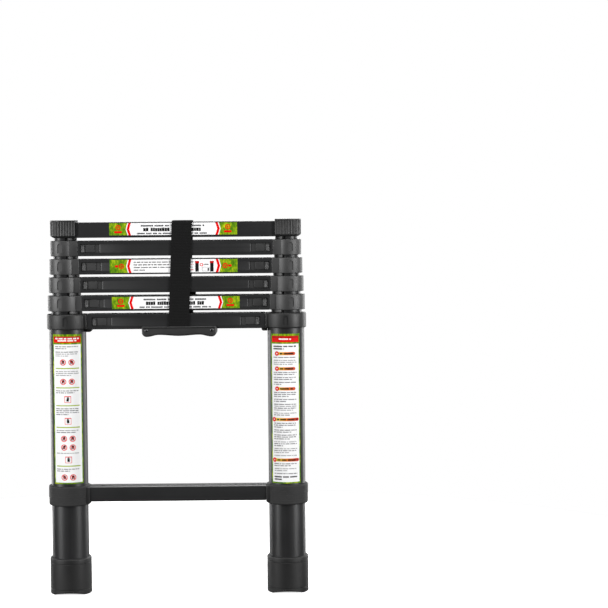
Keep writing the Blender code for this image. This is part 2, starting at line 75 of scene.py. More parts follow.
BASE_LEG_X = middle("tube_1_right").x
SLIDING_LEG_X = middle("tube_2_right").x
RUNG_DEPTH = size("rung_1").y
RUNG_HEIGHT = size("rung_1").z
RUNG_WALL = 1.5 * MM
TRAVEL = joint_travel("section_2_slide")
TUBE_WALLS = {1: 1.8 * MM}
SLIDING_WALL = 1.2 * MM
GAP = 0.3 * MM                  # between a visual surface and the one it fits
LOCK_HOLE = 3.5 * MM            # radius of the holes that a lock pin passes through
TONGUE_LENGTH = 42 * MM
RUNG_HOLE_X, RUNG_HOLE_RADIUS = 130 * MM, 3.3 * MM
STRAP_SLOT = (-16.2 * MM, 24.8 * MM)
SLOT_FLOOR = 448 * MM
WINDOW_LENGTH = 33 * MM
WINDOW_HALF_HEIGHT = 7 * MM
ARM_SETBACK = 4 * MM            # from a button's outer end to the arm behind it


def rung_top(section):
    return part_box(f"rung_{section}")[1].z


def rung_end(section):
    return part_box(f"rung_{section}")[1].x


def tube_radius(section):
    return size(f"tube_{section}_right").x / 2


def cap_or_collar(section, side):
    return f"top_cap_{SIDES[side]}" if section == SECTIONS else f"collar_{section}_{SIDES[side]}"


def leg_x(section):
    return BASE_LEG_X if section == 1 else SLIDING_LEG_X


def ring_radius(section):
    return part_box(cap_or_collar(section, 1))[1].x - leg_x(section)


def body_of(section):
    return "base" if section == 1 else f"section_{section}"


# ================================================================ materials

class Nodes:
    """Short calls for building one material's nodes."""

    def __init__(self, name):
        self.material = bpy.data.materials.new(name)
        self.material.use_nodes = True
        self.tree = self.material.node_tree
        self.shader = self.tree.nodes["Principled BSDF"]
        self.place = self.node("TexCoord").outputs["Object"]

    def node(self, kind, **settings):
        made = self.tree.nodes.new("ShaderNode" + kind)
        for key, value in settings.items():
            setattr(made, key, value)
        return made

    def link(self, source, target):
        self.tree.links.new(source, target)

    def scaled(self, scale):
        mapping = self.node("Mapping")
        mapping.inputs["Scale"].default_value = scale
        self.link(self.place, mapping.inputs["Vector"])
        return mapping.outputs["Vector"]

    def noise(self, scale, detail=3.0, roughness=0.55):
        """Noise with its own scale along X, Y and Z, in features per metre."""
        texture = self.node("TexNoise")
        texture.inputs["Scale"].default_value = 1
        texture.inputs["Detail"].default_value = detail
        texture.inputs["Roughness"].default_value = roughness
        self.link(self.scaled(scale), texture.inputs["Vector"])
        return texture.outputs["Fac"]

    def spread(self, source, low, high, start=0.3, end=0.7):
        """Maps a noise's usual range onto low to high."""
        mapped = self.node("MapRange")
        for name, value in (("From Min", start), ("From Max", end), ("To Min", low), ("To Max", high)):
            mapped.inputs[name].default_value = value
        self.link(source, mapped.inputs["Value"])
        return mapped.outputs["Result"]

    def maths(self, operation, first, second):
        made = self.node("Math", operation=operation)
        for socket, value in zip(made.inputs, (first, second)):
            if isinstance(value, (int, float)):
                socket.default_value = value
            else:
                self.link(value, socket)
        return made.outputs[0]

    def ramp(self, source, stops):
        made = self.node("ValToRGB")
        elements = made.color_ramp.elements
        while len(elements) < len(stops):
            elements.new(0.5)
        for element, (position, colour) in zip(elements, stops):
            element.position = position
            element.color = (*colour, 1)
        self.link(source, made.inputs["Fac"])
        return made.outputs["Color"]

    def colour(self, source):
        self.link(source, self.shader.inputs["Base Color"])

    def roughness(self, source):
        self.link(source, self.shader.inputs["Roughness"])

    def bump(self, height, distance, strength=1.0):
        made = self.node("Bump")
        made.inputs["Strength"].default_value = strength
        made.inputs["Distance"].default_value = distance
        self.link(height, made.inputs["Height"])
        self.link(made.outputs["Normal"], self.shader.inputs["Normal"])

    def set(self, **values):
        for name, value in values.items():
            self.shader.inputs[name.replace("_", " ")].default_value = value
        return self.material


def grey(level, tint=0.0):
    """A near-neutral linear colour, slightly bluer as the tint rises."""
    return (level, level * (1 + tint * 0.3), level * (1 + tint))


def anodised(name, level, along):
    """Dark anodised extrusion: fine die lines along one axis under a cloudy sheen."""
    n = Nodes(name)
    lines = [900.0, 900.0, 900.0]
    lines[along] = 4.0
    die_lines = n.noise(lines, detail=2.0)
    clouds = n.noise((14, 14, 14), detail=4.0)
    mixed = n.maths("ADD", n.maths("MULTIPLY", die_lines, 0.4), n.maths("MULTIPLY", clouds, 0.6))
    n.colour(n.ramp(mixed, [(0.3, grey(level * 0.82, 0.03)), (0.7, grey(level * 1.2, 0.04))]))
    n.roughness(n.spread(mixed, 0.36, 0.46))
    n.bump(die_lines, 0.02 * MM, 0.5)
    return n.set(Metallic=0.3)


def moulded(name, level, roughness=0.48, grain=0.03 * MM, scale=1500.0, gloss=0.5):
    """Moulded plastic or rubber with a fine spark-eroded grain."""
    n = Nodes(name)
    clouds = n.noise((22, 22, 22), detail=5.0)
    fine = n.noise((scale, scale, scale), detail=2.0)
    n.colour(n.ramp(clouds, [(0.3, grey(level * 0.85)), (0.7, grey(level * 1.2))]))
    n.roughness(n.spread(clouds, roughness - 0.05, roughness + 0.07))
    n.bump(fine, grain, 0.6)
    return n.set(Specular_IOR_Level=gloss)


def webbing(name, level, twill=2600.0):
    """Woven polypropylene: threads side by side, fine fibres, and faded threads here and there."""
    n = Nodes(name)
    threads = n.node("TexWave", wave_type="BANDS", bands_direction="X")
    threads.inputs["Scale"].default_value = twill / 8
    threads.inputs["Distortion"].default_value = 0.6
    n.link(n.place, threads.inputs["Vector"])
    faded = n.noise((260, 260, 900), detail=3.0)
    fibres = n.noise((2600, 2600, 5200), detail=2.0)
    n.colour(n.ramp(faded, [(0.3, grey(level * 0.7)), (0.72, grey(level * 1.5))]))
    n.roughness(n.spread(faded, 0.78, 0.92))
    n.bump(n.maths("ADD", threads.outputs["Fac"], fibres), 0.06 * MM, 0.7)
    return n.set(Sheen_Weight=0.04, Sheen_Roughness=0.5, Specular_IOR_Level=0.2)


def plated(name, level):
    n = Nodes(name)
    turned = n.noise((30, 900, 900), detail=3.0)
    n.colour(n.ramp(turned, [(0.3, grey(level * 0.8, 0.02)), (0.7, grey(level * 1.1, 0.05))]))
    n.roughness(n.spread(turned, 0.22, 0.36))
    return n.set(Metallic=1.0)


def ink(name, colour, variation=0.06):
    """Print on satin vinyl, with the slight mottle of offset ink."""
    n = Nodes(name)
    mottle = n.noise((500, 500, 500), detail=4.0)
    dark = tuple(channel * (1 - variation) for channel in colour)
    light = tuple(min(1.0, channel * (1 + variation)) for channel in colour)
    n.colour(n.ramp(mottle, [(0.3, dark), (0.7, light)]))
    n.roughness(n.spread(mottle, 0.42, 0.5))
    return n.set(Specular_IOR_Level=0.06)


def meadow(name):
    """Printed grass: tall soft blades of green with lime and yellow light between them."""
    n = Nodes(name)
    blades = n.noise((420, 420, 130), detail=5.0, roughness=0.6)
    light = n.noise((110, 110, 80), detail=2.0)
    mixed = n.maths("ADD", n.maths("MULTIPLY", blades, 0.5), n.maths("MULTIPLY", light, 0.5))
    n.colour(n.ramp(mixed, [(0.36, (0.040, 0.13, 0.006)), (0.46, (0.10, 0.24, 0.007)),
                            (0.54, (0.22, 0.36, 0.008)), (0.64, (0.48, 0.58, 0.012))]))
    n.roughness(n.spread(blades, 0.42, 0.5))
    return n.set(Specular_IOR_Level=0.06)


def warm_fade(name, low, high):
    """Print that fades from yellow at x = low to red at x = high."""
    n = Nodes(name)
    split = n.node("SeparateXYZ")
    n.link(n.place, split.inputs["Vector"])
    across = n.spread(split.outputs["X"], 0.0, 1.0, low, high)
    n.colour(n.ramp(across, [(0.0, (0.86, 0.62, 0.08)), (0.45, (0.85, 0.24, 0.03)),
                             (1.0, (0.62, 0.02, 0.01))]))
    n.roughness(n.spread(n.noise((500, 500, 500)), 0.42, 0.5))
    return n.set(Specular_IOR_Level=0.06)


LOOKS = {
    "tube": anodised("tube_anodised", 0.026, 2),
    "rung": anodised("rung_anodised", 0.024, 0),
    "collar": moulded("collar_plastic", 0.027, 0.52, gloss=0.8),
    "base_collar": moulded("base_collar_plastic", 0.015, 0.50),
    "bottom_collar": moulded("bottom_collar_plastic", 0.024, 0.68, gloss=0.35),
    "cap": moulded("cap_plastic", 0.015, 0.48),
    "button": moulded("button_plastic", 0.032, 0.45),
    "foot": moulded("foot_rubber", 0.011, 0.58, 0.05 * MM, 900.0),
    "handle": moulded("handle_plastic", 0.026, 0.50),
    "strap": webbing("strap_webbing", 0.0030),
    "thread": webbing("strap_thread", 0.008, 5200.0),
    "pin": plated("pin_zinc", 0.55),
    "rivet": plated("rivet_zinc", 0.10),
    "bush": moulded("bush_nylon", 0.32, 0.5),
}
INKS = {
    "white": ink("ink_white", (0.94, 0.94, 0.94), 0.01),
    "black": ink("ink_black", (0.012, 0.012, 0.012)),
    "grey": ink("ink_grey", (0.10, 0.10, 0.105)),
    "lime": ink("ink_lime", (0.34, 0.47, 0.02)),
    "pale": ink("ink_pale_grey", (0.28, 0.28, 0.29)),
    "red": ink("ink_red", (0.76, 0.004, 0.004)),
    "deep_red": ink("ink_deep_red", (0.50, 0.006, 0.006)),
    "meadow": meadow("ink_meadow"),
    "fade": warm_fade("ink_warm_fade", BASE_LEG_X - 14 * MM, BASE_LEG_X + 18 * MM),
}


# ================================================================ mesh tools

def arc(centre, radius, start, end, steps):
    """Points from one angle to another, both in radians."""
    points = []
    for i in range(steps + 1):
        angle = start + (end - start) * i / steps
        points.append((centre[0] + radius * math.cos(angle), centre[1] + radius * math.sin(angle)))
    return points


def circle(centre, radius, steps=HOLE_SIDES):
    return arc(centre, radius, 0, math.tau, steps)[:-1]


def prism(points, x0, x1):
    """Two loops that carry a (y, z) outline from x0 to x1."""
    return [[(x, y, z) for y, z in points] for x in (x0, x1)]


def ring_groove(radius, z, depth, half, floor):
    """Part of a turned profile: a groove round the side at height z."""
    return [(radius, z - half), (radius - depth, z - floor), (radius - depth, z + floor), (radius, z + half)]


def rounded_rectangle(half_width, half_height, radius, steps=4):
    points = []
    for i, (sx, sy) in enumerate(((1, 1), (-1, 1), (-1, -1), (1, -1))):
        centre = (sx * (half_width - radius), sy * (half_height - radius))
        points += arc(centre, radius, i * math.pi / 2, (i + 1) * math.pi / 2, steps)
    return points


def inset(outline, distance):
    """The outline moved inward. It runs anticlockwise."""
    moved = []
    count = len(outline)
    for i, (x, y) in enumerate(outline):
        before, after = Vector(outline[i - 1]), Vector(outline[(i + 1) % count])
        here = Vector((x, y))
        first, second = (here - before).normalized(), (after - here).normalized()
        normals = Vector((-first.y, first.x)), Vector((-second.y, second.x))
        joined = (normals[0] + normals[1]).normalized()
        reach = distance / max(0.5, joined.dot(normals[0]))
        moved.append((x + joined.x * reach, y + joined.y * reach))
    return moved


def loft(bm, loops, joined=False):
    """Quads between loops of equal length, then caps, or the last loop joined to the first."""
    rings = [[bm.verts.new(point) for point in loop] for loop in loops]
    pairs = list(zip(rings, rings[1:]))
    if joined:
        pairs.append((rings[-1], rings[0]))
    for first, second in pairs:
        for i in range(len(first)):
            j = (i + 1) % len(first)
            bm.faces.new((first[i], first[j], second[j], second[i]))
    if not joined:
        bm.faces.new(rings[0])
        bm.faces.new(rings[-1])


def sharpen(mesh, smooth_angle=SMOOTH_ANGLE):
    """Smooth shading that breaks at edges sharper than the angle."""
    mesh.shade_smooth()
    mesh.set_sharp_from_angle(angle=smooth_angle)


def linked(name, data):
    """A new object in the scene that holds the data."""
    item = bpy.data.objects.new(name, data)
    bpy.context.scene.collection.objects.link(item)
    return item


def finished(name, bm, material, smooth_angle=SMOOTH_ANGLE):
    bmesh.ops.remove_doubles(bm, verts=bm.verts, dist=1e-7)
    bmesh.ops.recalc_face_normals(bm, faces=bm.faces)
    mesh = bpy.data.meshes.new(name)
    bm.to_mesh(mesh)
    bm.free()
    sharpen(mesh, smooth_angle)
    mesh.materials.append(material)
    return linked(name, mesh)


def edge_steps(radius, steps=3):
    """(inset, drop) pairs round a quarter circle, from the flat face to the side wall."""
    pairs = []
    for i in range(steps + 1):
        angle = math.pi / 2 * i / steps
        pairs.append((radius * (1 - math.sin(angle)), radius * (1 - math.cos(angle))))
    return pairs


def upright(x, y, z):
    return (x, y, z)


def facing_front(x, z, y):
    return (x, y, z)


def add_slab(bm, outline, low, high, edge, place=upright, steps=3):
    """An extruded outline whose two ends have rounded edges."""
    corners = edge_steps(edge, steps)
    heights = [(offset, low + drop) for offset, drop in corners]
    heights += [(offset, high - drop) for offset, drop in reversed(corners)]
    loft(bm, [[place(x, y, z) for x, y in inset(outline, offset)] for offset, z in heights])


def box_outline(x0, x1, y0, y1, radius=0.4 * MM, steps=2):
    points = rounded_rectangle((x1 - x0) / 2, (y1 - y0) / 2, radius, steps)
    return [(x + (x0 + x1) / 2, y + (y0 + y1) / 2) for x, y in points]


def turned(bm, profile, centre, segments=ROUND, joined=True):
    """A profile of (radius, height) points turned about a vertical axis."""
    loops = []
    for radius, height in profile:
        loops.append([(centre.x + radius * math.cos(math.tau * i / segments),
                       centre.y + radius * math.sin(math.tau * i / segments),
                       height) for i in range(segments)])
    loft(bm, loops, joined=joined)


def carve(piece, cutter):
    """Cuts one mesh out of another and keeps only the result."""
    modifier = piece.modifiers.new("carve", "BOOLEAN")
    modifier.operation = "DIFFERENCE"
    modifier.solver = "EXACT"
    modifier.object = cutter
    bpy.context.view_layer.update()
    seen = piece.evaluated_get(bpy.context.evaluated_depsgraph_get())
    mesh = bpy.data.meshes.new_from_object(seen)
    piece.modifiers.clear()
    piece.data = mesh
    sharpen(mesh)
    bpy.data.objects.remove(cutter)


def cut(piece, loops):
    """Cuts the solid between the loops out of the piece."""
    bm = bmesh.new()
    loft(bm, loops)
    carve(piece, finished("cutter", bm, piece.data.materials[0]))


def drill(piece, at, radius, low, high, segments=ROUND):
    """An upright round hole."""
    bm = bmesh.new()
    turned(bm, [(radius, low), (radius, high)], at, segments, joined=False)
    carve(piece, finished("drill", bm, piece.data.materials[0]))


def join_mesh(piece, bm):
    """Adds more shapes to a piece that is already there."""
    bmesh.ops.recalc_face_normals(bm, faces=bm.faces)
    bm.from_mesh(piece.data)
    bm.to_mesh(piece.data)
    bm.free()
    sharpen(piece.data)


def settle(piece, body, slot, *nodes):
    """Every piece's last calls: the body it rides on and what it replaces. The slot is not used."""
    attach(piece, body)
    if nodes:
        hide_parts(*nodes)


# ================================================================ legs

def make_tube(section, side):
    node = f"tube_{section}_{SIDES[side]}"
    low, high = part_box(node)
    centre = middle(node)
    outer = tube_radius(section)
    inner = outer - TUBE_WALLS.get(section, SLIDING_WALL)
    lip = 0.25 * MM
    bm = bmesh.new()
    turned(bm, [(outer - lip, low.z), (outer, low.z + lip), (outer, high.z - lip), (outer - lip, high.z),
                (inner + lip, high.z), (inner, high.z - lip), (inner, low.z + lip), (inner + lip, low.z)],
           Vector((centre.x, centre.y, 0)))
    piece = finished(f"{node}_skin", bm, LOOKS["tube"])
    heights = []
    if section < SECTIONS:
        heights.append(middle(f"lock_pin_{section}_{SIDES[side]}").z)
    if section > 1:
        heights.append(middle(f"lock_pin_{section - 1}_{SIDES[side]}").z - TRAVEL)
    for height in heights:
        cut(piece, prism(circle((0, height), LOCK_HOLE), centre.x, centre.x - side * outer * 1.5))
    settle(piece, body_of(section), "leg_tube", node)


def make_bush(side):
    """A block that fills the base tube's bore, with the narrower tube's bore off its middle."""
    node = f"end_bush_{SIDES[side]}"
    low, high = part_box(node)
    outer = size(node).x / 2
    groove = 0.35 * MM
    profile = [(0.1 * MM, low.z), (outer - groove, low.z), (outer, low.z + groove)]
    for share in (0.33, 0.66):
        z = low.z + (high.z - low.z) * share
        profile += ring_groove(outer, z, groove, 0.8 * MM, 0.5 * MM)
    profile += [(outer, high.z - groove), (outer - groove, high.z), (0.1 * MM, high.z)]
    bm = bmesh.new()
    turned(bm, profile, Vector((middle(node).x, 0, 0)), joined=False)
    piece = finished(f"{node}_ring", bm, LOOKS["bush"])
    drill(piece, Vector((side * SLIDING_LEG_X, 0, 0)), tube_radius(2) + GAP, low.z - 5 * MM, high.z + 5 * MM)
    settle(piece, "section_2", "bush_nylon", node)


# ================================================================ rungs

def tread_outline(half_depth, half_height, grooves):
    """A rung's section as (y, z), with rounded corners and a grooved tread on top."""
    corner = 0.8 * MM
    points = arc((half_depth - corner, half_height - corner), corner, 0, math.pi / 2, 6)
    pitch = 2.6 * MM
    width, depth = 0.9 * MM, 0.5 * MM
    for i in range(grooves):
        y = (grooves - 1) / 2 * pitch - i * pitch
        points += [(y + width, half_height), (y + width / 2, half_height - depth),
                   (y - width / 2, half_height - depth), (y - width, half_height)]
    points += arc((corner - half_depth, half_height - corner), corner, math.pi / 2, math.pi, 6)
    points += arc((corner - half_depth, corner - half_height), corner, math.pi, 1.5 * math.pi, 6)
    points += arc((half_depth - corner, corner - half_height), corner, 1.5 * math.pi, math.tau, 6)
    return points


def make_rung(node, body, windows):
    low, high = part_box(node)
    centre = middle(node)
    half_depth, half_height = (high.y - low.y) / 2, (high.z - low.z) / 2
    outer = tread_outline(half_depth, half_height, 11)
    inner = [(max(RUNG_WALL - half_depth, min(half_depth - RUNG_WALL, y * 0.92)),
              max(RUNG_WALL - half_height, min(half_height - RUNG_WALL, z * 0.88))) for y, z in outer]
    lip = 0.3 * MM

    def place(y, z, x):
        return (x, centre.y + y, centre.z + z)

    ends = [(low.x, lip), (low.x + lip, 0), (high.x - lip, 0), (high.x, lip)]
    loops = [[place(y, z, x) for y, z in inset(outer, offset)] for x, offset in ends]
    loops += [[place(y, z, x) for y, z in inner] for x in (high.x, low.x)]
    bm = bmesh.new()
    loft(bm, loops, joined=True)
    piece = finished(f"{node}_extrusion", bm, LOOKS["rung"])
    slope, inner_slope = 0.5 * MM, 2.0 * MM
    for x0, x1, half in windows:
        left_slope, right_slope = (slope, inner_slope) if x1 < 0 else (inner_slope, slope)
        loops = []
        for y, share in ((low.y - 0.5 * MM, 1.5), (low.y + 1 * MM, 0), (low.y + RUNG_WALL + 1 * MM, 0)):
            outline = box_outline(x0 - left_slope * share, x1 + right_slope * share,
                                  centre.z - half - slope * share, centre.z + half + slope * share,
                                  1.2 * MM, 4)
            loops.append([(x, y, z) for x, z in outline])
        cut(piece, loops)
    settle(piece, body, "rung_tube", node)
    return piece


def window_span(section, side):
    """The button's window from its outer end inward, as two x values in order."""
    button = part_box(f"release_button_{section}_{SIDES[side]}")
    outer_end = max(abs(button[0].x), abs(button[1].x)) + 0.6 * MM
    inner_end = outer_end - WINDOW_LENGTH
    return sorted((side * outer_end, side * inner_end))


def make_stack_rung(section):
    windows = []
    if section < SECTIONS:
        windows = [(*window_span(section, side), WINDOW_HALF_HEIGHT) for side in SIDES]
    make_rung(f"rung_{section}", body_of(section), windows)


def make_bottom_rung():
    node = "bottom_rung"
    piece = make_rung(node, "base", [])
    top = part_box(node)[1].z
    for side in SIDES:
        drill(piece, Vector((side * RUNG_HOLE_X, 0, 0)), RUNG_HOLE_RADIUS,
              top - 3 * MM, top + 2 * MM, HOLE_SIDES)


# ================================================================ collars and caps

def mirrored(points, side):
    """The outline for a leg: as it is on the right, mirrored in X on the left."""
    return points if side > 0 else [(-x, y) for x, y in reversed(points)]


def collar_outline(radius, face, half_depth, side, corner):
    """A ring with a bracket towards the middle of the ladder, anticlockwise from above."""
    meet = math.asin(half_depth / radius)
    points = arc((0, 0), radius, meet - math.pi, math.pi - meet, ROUND - 20)
    points += arc((corner - face, half_depth - corner), corner, math.pi / 2, math.pi, 5)
    points += arc((corner - face, corner - half_depth), corner, math.pi, 1.5 * math.pi, 5)
    return mirrored(points, side)


def lug_outline(radius, bore, reach, side):
    """The spacer under a collar: part of a ring with a square nose towards the rung."""
    half_angle = math.radians(62)
    nose, corner, outer = 12 * MM, 2.4 * MM, radius - 0.9 * MM
    meet = math.asin(nose / outer)
    points = arc((0, 0), outer, math.pi - half_angle, math.pi - meet, 8)
    points += arc((corner - reach, nose - corner), corner, math.pi / 2, math.pi, 5)
    points += arc((corner - reach, corner - nose), corner, math.pi, 1.5 * math.pi, 5)
    points += arc((0, 0), outer, math.pi + meet, math.pi + half_angle, 8)
    points += arc((0, 0), bore, math.pi + half_angle, math.pi - half_angle, 24)
    return mirrored(points, side)


def tongue_outline(at, face, side):
    """A tongue from above: as deep as the rung's inside, and TONGUE_LENGTH into its end."""
    half_depth = RUNG_DEPTH / 2 - RUNG_WALL - 0.5 * MM
    xs = sorted((-side * (face - 0.5 * MM), -side * (face + TONGUE_LENGTH)))
    return box_outline(at.x + xs[0], at.x + xs[1], -half_depth, half_depth, 2 * MM, 3)


def add_tongues(bm, at, face, side, centre_z):
    """The two flat tongues inside the rung's end."""
    outline = tongue_outline(at, face, side)
    edge = RUNG_HEIGHT / 2 - RUNG_WALL - GAP
    for sign in (-1, 1):
        zs = sorted((sign * edge, sign * (edge - 3 * MM)))
        add_slab(bm, outline, centre_z + zs[0], centre_z + zs[1], 0.4 * MM)


def press_arch(piece, at, radius, low, lean):
    """A flat-floored arch pressed into a ring's front, turned by lean about the leg."""
    half, top, foot, depth = 4.2 * MM, low + 21.6 * MM, low + 5.6 * MM, 1.3 * MM
    outline = arc((0, top - half), half, 0, math.pi, 16) + [(-half, foot), (half, foot)]
    out = Vector((math.sin(lean), -math.cos(lean), 0))
    across = Vector((math.cos(lean), math.sin(lean), 0))
    spots = [at + out * reach for reach in (radius - depth, radius + 2 * MM)]
    cut(piece, [[spot + across * u + Vector((0, 0, z)) for u, z in outline] for spot in spots])


def make_collar(section, side):
    node = cap_or_collar(section, side)
    at = Vector((side * leg_x(section), 0, 0))
    radius, bore = ring_radius(section), tube_radius(section) + GAP
    top = rung_top(section)
    low = top - RUNG_HEIGHT
    face = leg_x(section) - rung_end(section) - GAP
    base = section == 1
    edge, corner = (2.4 * MM, 2.6 * MM) if base else (0.8 * MM, 1.0 * MM)

    def place(x, y, z):
        return (at.x + x, y, z)

    bm = bmesh.new()
    add_slab(bm, collar_outline(radius, face, RUNG_DEPTH / 2, side, corner), low, top, edge, place)
    piece = finished(f"{node}_ring", bm, LOOKS["base_collar" if base else "collar"])
    drill(piece, at, bore, low - 5 * MM, top - 4.7 * MM if base else top + 5 * MM)
    if base:
        drill(piece, Vector((side * SLIDING_LEG_X, 0, 0)), tube_radius(2) + GAP, top - 9 * MM, top + 5 * MM)
    lean = 0 if base else side * math.radians(10.5)
    press_arch(piece, at, radius, low, lean)
    mid = (top + low) / 2
    cut(piece, prism(circle((0, mid), LOCK_HOLE), at.x, at.x - side * (face + 5 * MM)))

    bm = bmesh.new()
    add_tongues(bm, at, face, side, mid)
    if base:
        add_tab(bm, at, side, low)
    else:
        lug = lug_outline(radius, bore, radius + 1.2 * MM, side)
        add_slab(bm, lug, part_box(node)[0].z, low + 0.2 * MM, 0.5 * MM, place)
    join_mesh(piece, bm)
    settle(piece, body_of(section), "collar_plastic", node)


def add_tab(bm, at, side, low):
    """The chamfered tab that runs on under the base rung's end."""
    start, end, drop, slant = 32.5 * MM, 41.5 * MM, 4.8 * MM, 2.2 * MM
    outline = [(-start, low - GAP), (-end, low - GAP), (-end, low + slant - drop), (slant - end, low - drop),
               (-start, low - drop)]
    half = 12 * MM
    rows = [(-half, 0.5 * MM), (-11.5 * MM, 0), (11.5 * MM, 0), (half, 0.5 * MM)]
    loft(bm, [[(at.x + side * x, y, z) for x, z in inset(outline, offset)] for y, offset in rows])
    xs = sorted((at.x - side * 31.9 * MM, at.x - side * 34.6 * MM))
    neck = box_outline(*xs, -half, half, 0.6 * MM)
    add_slab(bm, neck, low - drop, low + 0.3 * MM, 0.3 * MM)


def make_cap(side):
    """The top section's knob: ribbed round its open side, chamfered below, flat to the rung."""
    node = cap_or_collar(SECTIONS, side)
    at = Vector((side * SLIDING_LEG_X, 0, 0))
    radius, bore = ring_radius(SECTIONS), tube_radius(SECTIONS) + GAP
    rung_z = rung_top(SECTIONS)
    low = rung_z - RUNG_HEIGHT
    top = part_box(node)[1].z
    face = SLIDING_LEG_X - rung_end(SECTIONS) - GAP
    half_turn = math.pi * radius
    length = 2 * face + half_turn
    ribs, rib_depth, steps = 25, 0.7 * MM, 420

    def knob(shrink, ribbed):
        """The ribbed outline, smaller by shrink except on its flat side."""
        points = []
        for i in range(steps + 1):
            s = length * i / steps
            wave = (0.5 - 0.5 * math.cos(math.tau * ribs * i / steps)) ** 0.75
            reach = radius - shrink - rib_depth * ribbed * wave
            if s < face:
                points.append((s - face, -reach))
            elif s > face + half_turn:
                points.append((face + half_turn - s, reach))
            else:
                angle = (s - face) / radius - math.pi / 2
                points.append((reach * math.cos(angle), reach * math.sin(angle)))
        return points

    def place(x, y, z):
        return (at.x + side * x, y, z)

    rise, chamfer = 3.6 * MM, 5.2 * MM
    rows = [(chamfer, low, 0.0), (0.35 * MM, low + rise - 0.3 * MM, 0.3), (0.0, low + rise + 0.5 * MM, 0.8),
            (0.0, low + rise + 1 * MM, 1.0), (0.0, top - 2.6 * MM, 1.0), (0.0, top - 2.1 * MM, 0.5),
            (0.0, top - 1.7 * MM, 0.0)]
    rows += [(offset, top - drop, 0.0) for offset, drop in reversed(edge_steps(1.3 * MM))]
    bm = bmesh.new()
    loft(bm, [[place(x, y, z) for x, y in knob(shrink, ribbed)] for shrink, z, ribbed in rows])
    piece = finished(f"{node}_knob", bm, LOOKS["cap"])
    drill(piece, at, bore, low - 5 * MM, rung_z - 5.7 * MM)
    bm = bmesh.new()
    add_tongues(bm, at, face, side, (rung_z + low) / 2)
    lug = lug_outline(radius, bore, face - 0.5 * MM, side)
    add_slab(bm, lug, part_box(node)[0].z, low + 0.2 * MM, 0.5 * MM, lambda x, y, z: (at.x + x, y, z))
    join_mesh(piece, bm)
    settle(piece, body_of(SECTIONS), "collar_plastic", node)


def make_bottom_collar(side):
    node = f"bottom_collar_{SIDES[side]}"
    low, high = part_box(node)
    at = Vector((side * BASE_LEG_X, 0, 0))
    radius = (high.y - low.y) / 2
    rung_low, rung_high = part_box("bottom_rung")
    bore = tube_radius(1) + GAP
    face = BASE_LEG_X - rung_high.x - GAP

    # fine mould lines run round the ring
    line, depth = 0.5 * MM, 0.25 * MM
    profile = arc((radius - 2.2 * MM, low.z + 2.2 * MM), 2.2 * MM, -math.pi / 2, 0, 6)
    for i in range(7):
        z = low.z + 5 * MM + (high.z - low.z - 10 * MM) * i / 6
        profile += ring_groove(radius, z, depth, line, line * 0.4)
    profile += arc((radius - 2.2 * MM, high.z - 2.2 * MM), 2.2 * MM, 0, math.pi / 2, 6)
    profile += [(bore + 0.4 * MM, high.z), (bore, high.z - 0.4 * MM), (bore, low.z + 0.4 * MM),
                (bore + 0.4 * MM, low.z)]
    bm = bmesh.new()
    turned(bm, profile, at)
    piece = finished(f"{node}_ring", bm, LOOKS["bottom_collar"])

    # the bracket is one block that the ring's bore passes through
    half_depth = RUNG_DEPTH / 2 + 1.5 * MM
    xs = sorted((-side * 12 * MM, -side * face))
    block = box_outline(at.x + xs[0], at.x + xs[1], -half_depth, half_depth, 1.6 * MM, 4)
    bm = bmesh.new()
    add_slab(bm, block, low.z + 3 * MM, rung_high.z, 1.2 * MM)
    bracket = finished("bracket", bm, LOOKS["bottom_collar"])
    drill(bracket, at, bore, low.z - 5 * MM, high.z + 5 * MM)
    bm = bmesh.new()
    bm.from_mesh(bracket.data)
    bpy.data.objects.remove(bracket)
    edge = (rung_high.z - rung_low.z) / 2 - RUNG_WALL - GAP
    mid = (rung_high.z + rung_low.z) / 2
    add_slab(bm, tongue_outline(at, face, side), mid - edge, mid + edge, 0.5 * MM)
    join_mesh(piece, bm)
    settle(piece, "base", "collar_plastic", node)


# ================================================================ buttons

def grip_outline(x0, x1, front, back):
    """The thumb grip from above: a block whose front has three upright ridges."""
    ridges, depth = 3, 0.5 * MM
    margin = 0.5 * MM
    pitch = (x1 - x0 - 2 * margin) / ridges
    points = [(x1, back), (x0, back), (x0, front + 0.4 * MM), (x0 + 0.2 * MM, front)]
    for i in range(ridges):
        start = x0 + margin + pitch * i
        for j in range(9):
            share = j / 8
            crest = math.sin(math.pi * share) ** 0.8
            points.append((start + pitch * share, front + depth * (1 - crest)))
    points += [(x1 - 0.2 * MM, front), (x1, front + 0.4 * MM)]
    return list(reversed(points))


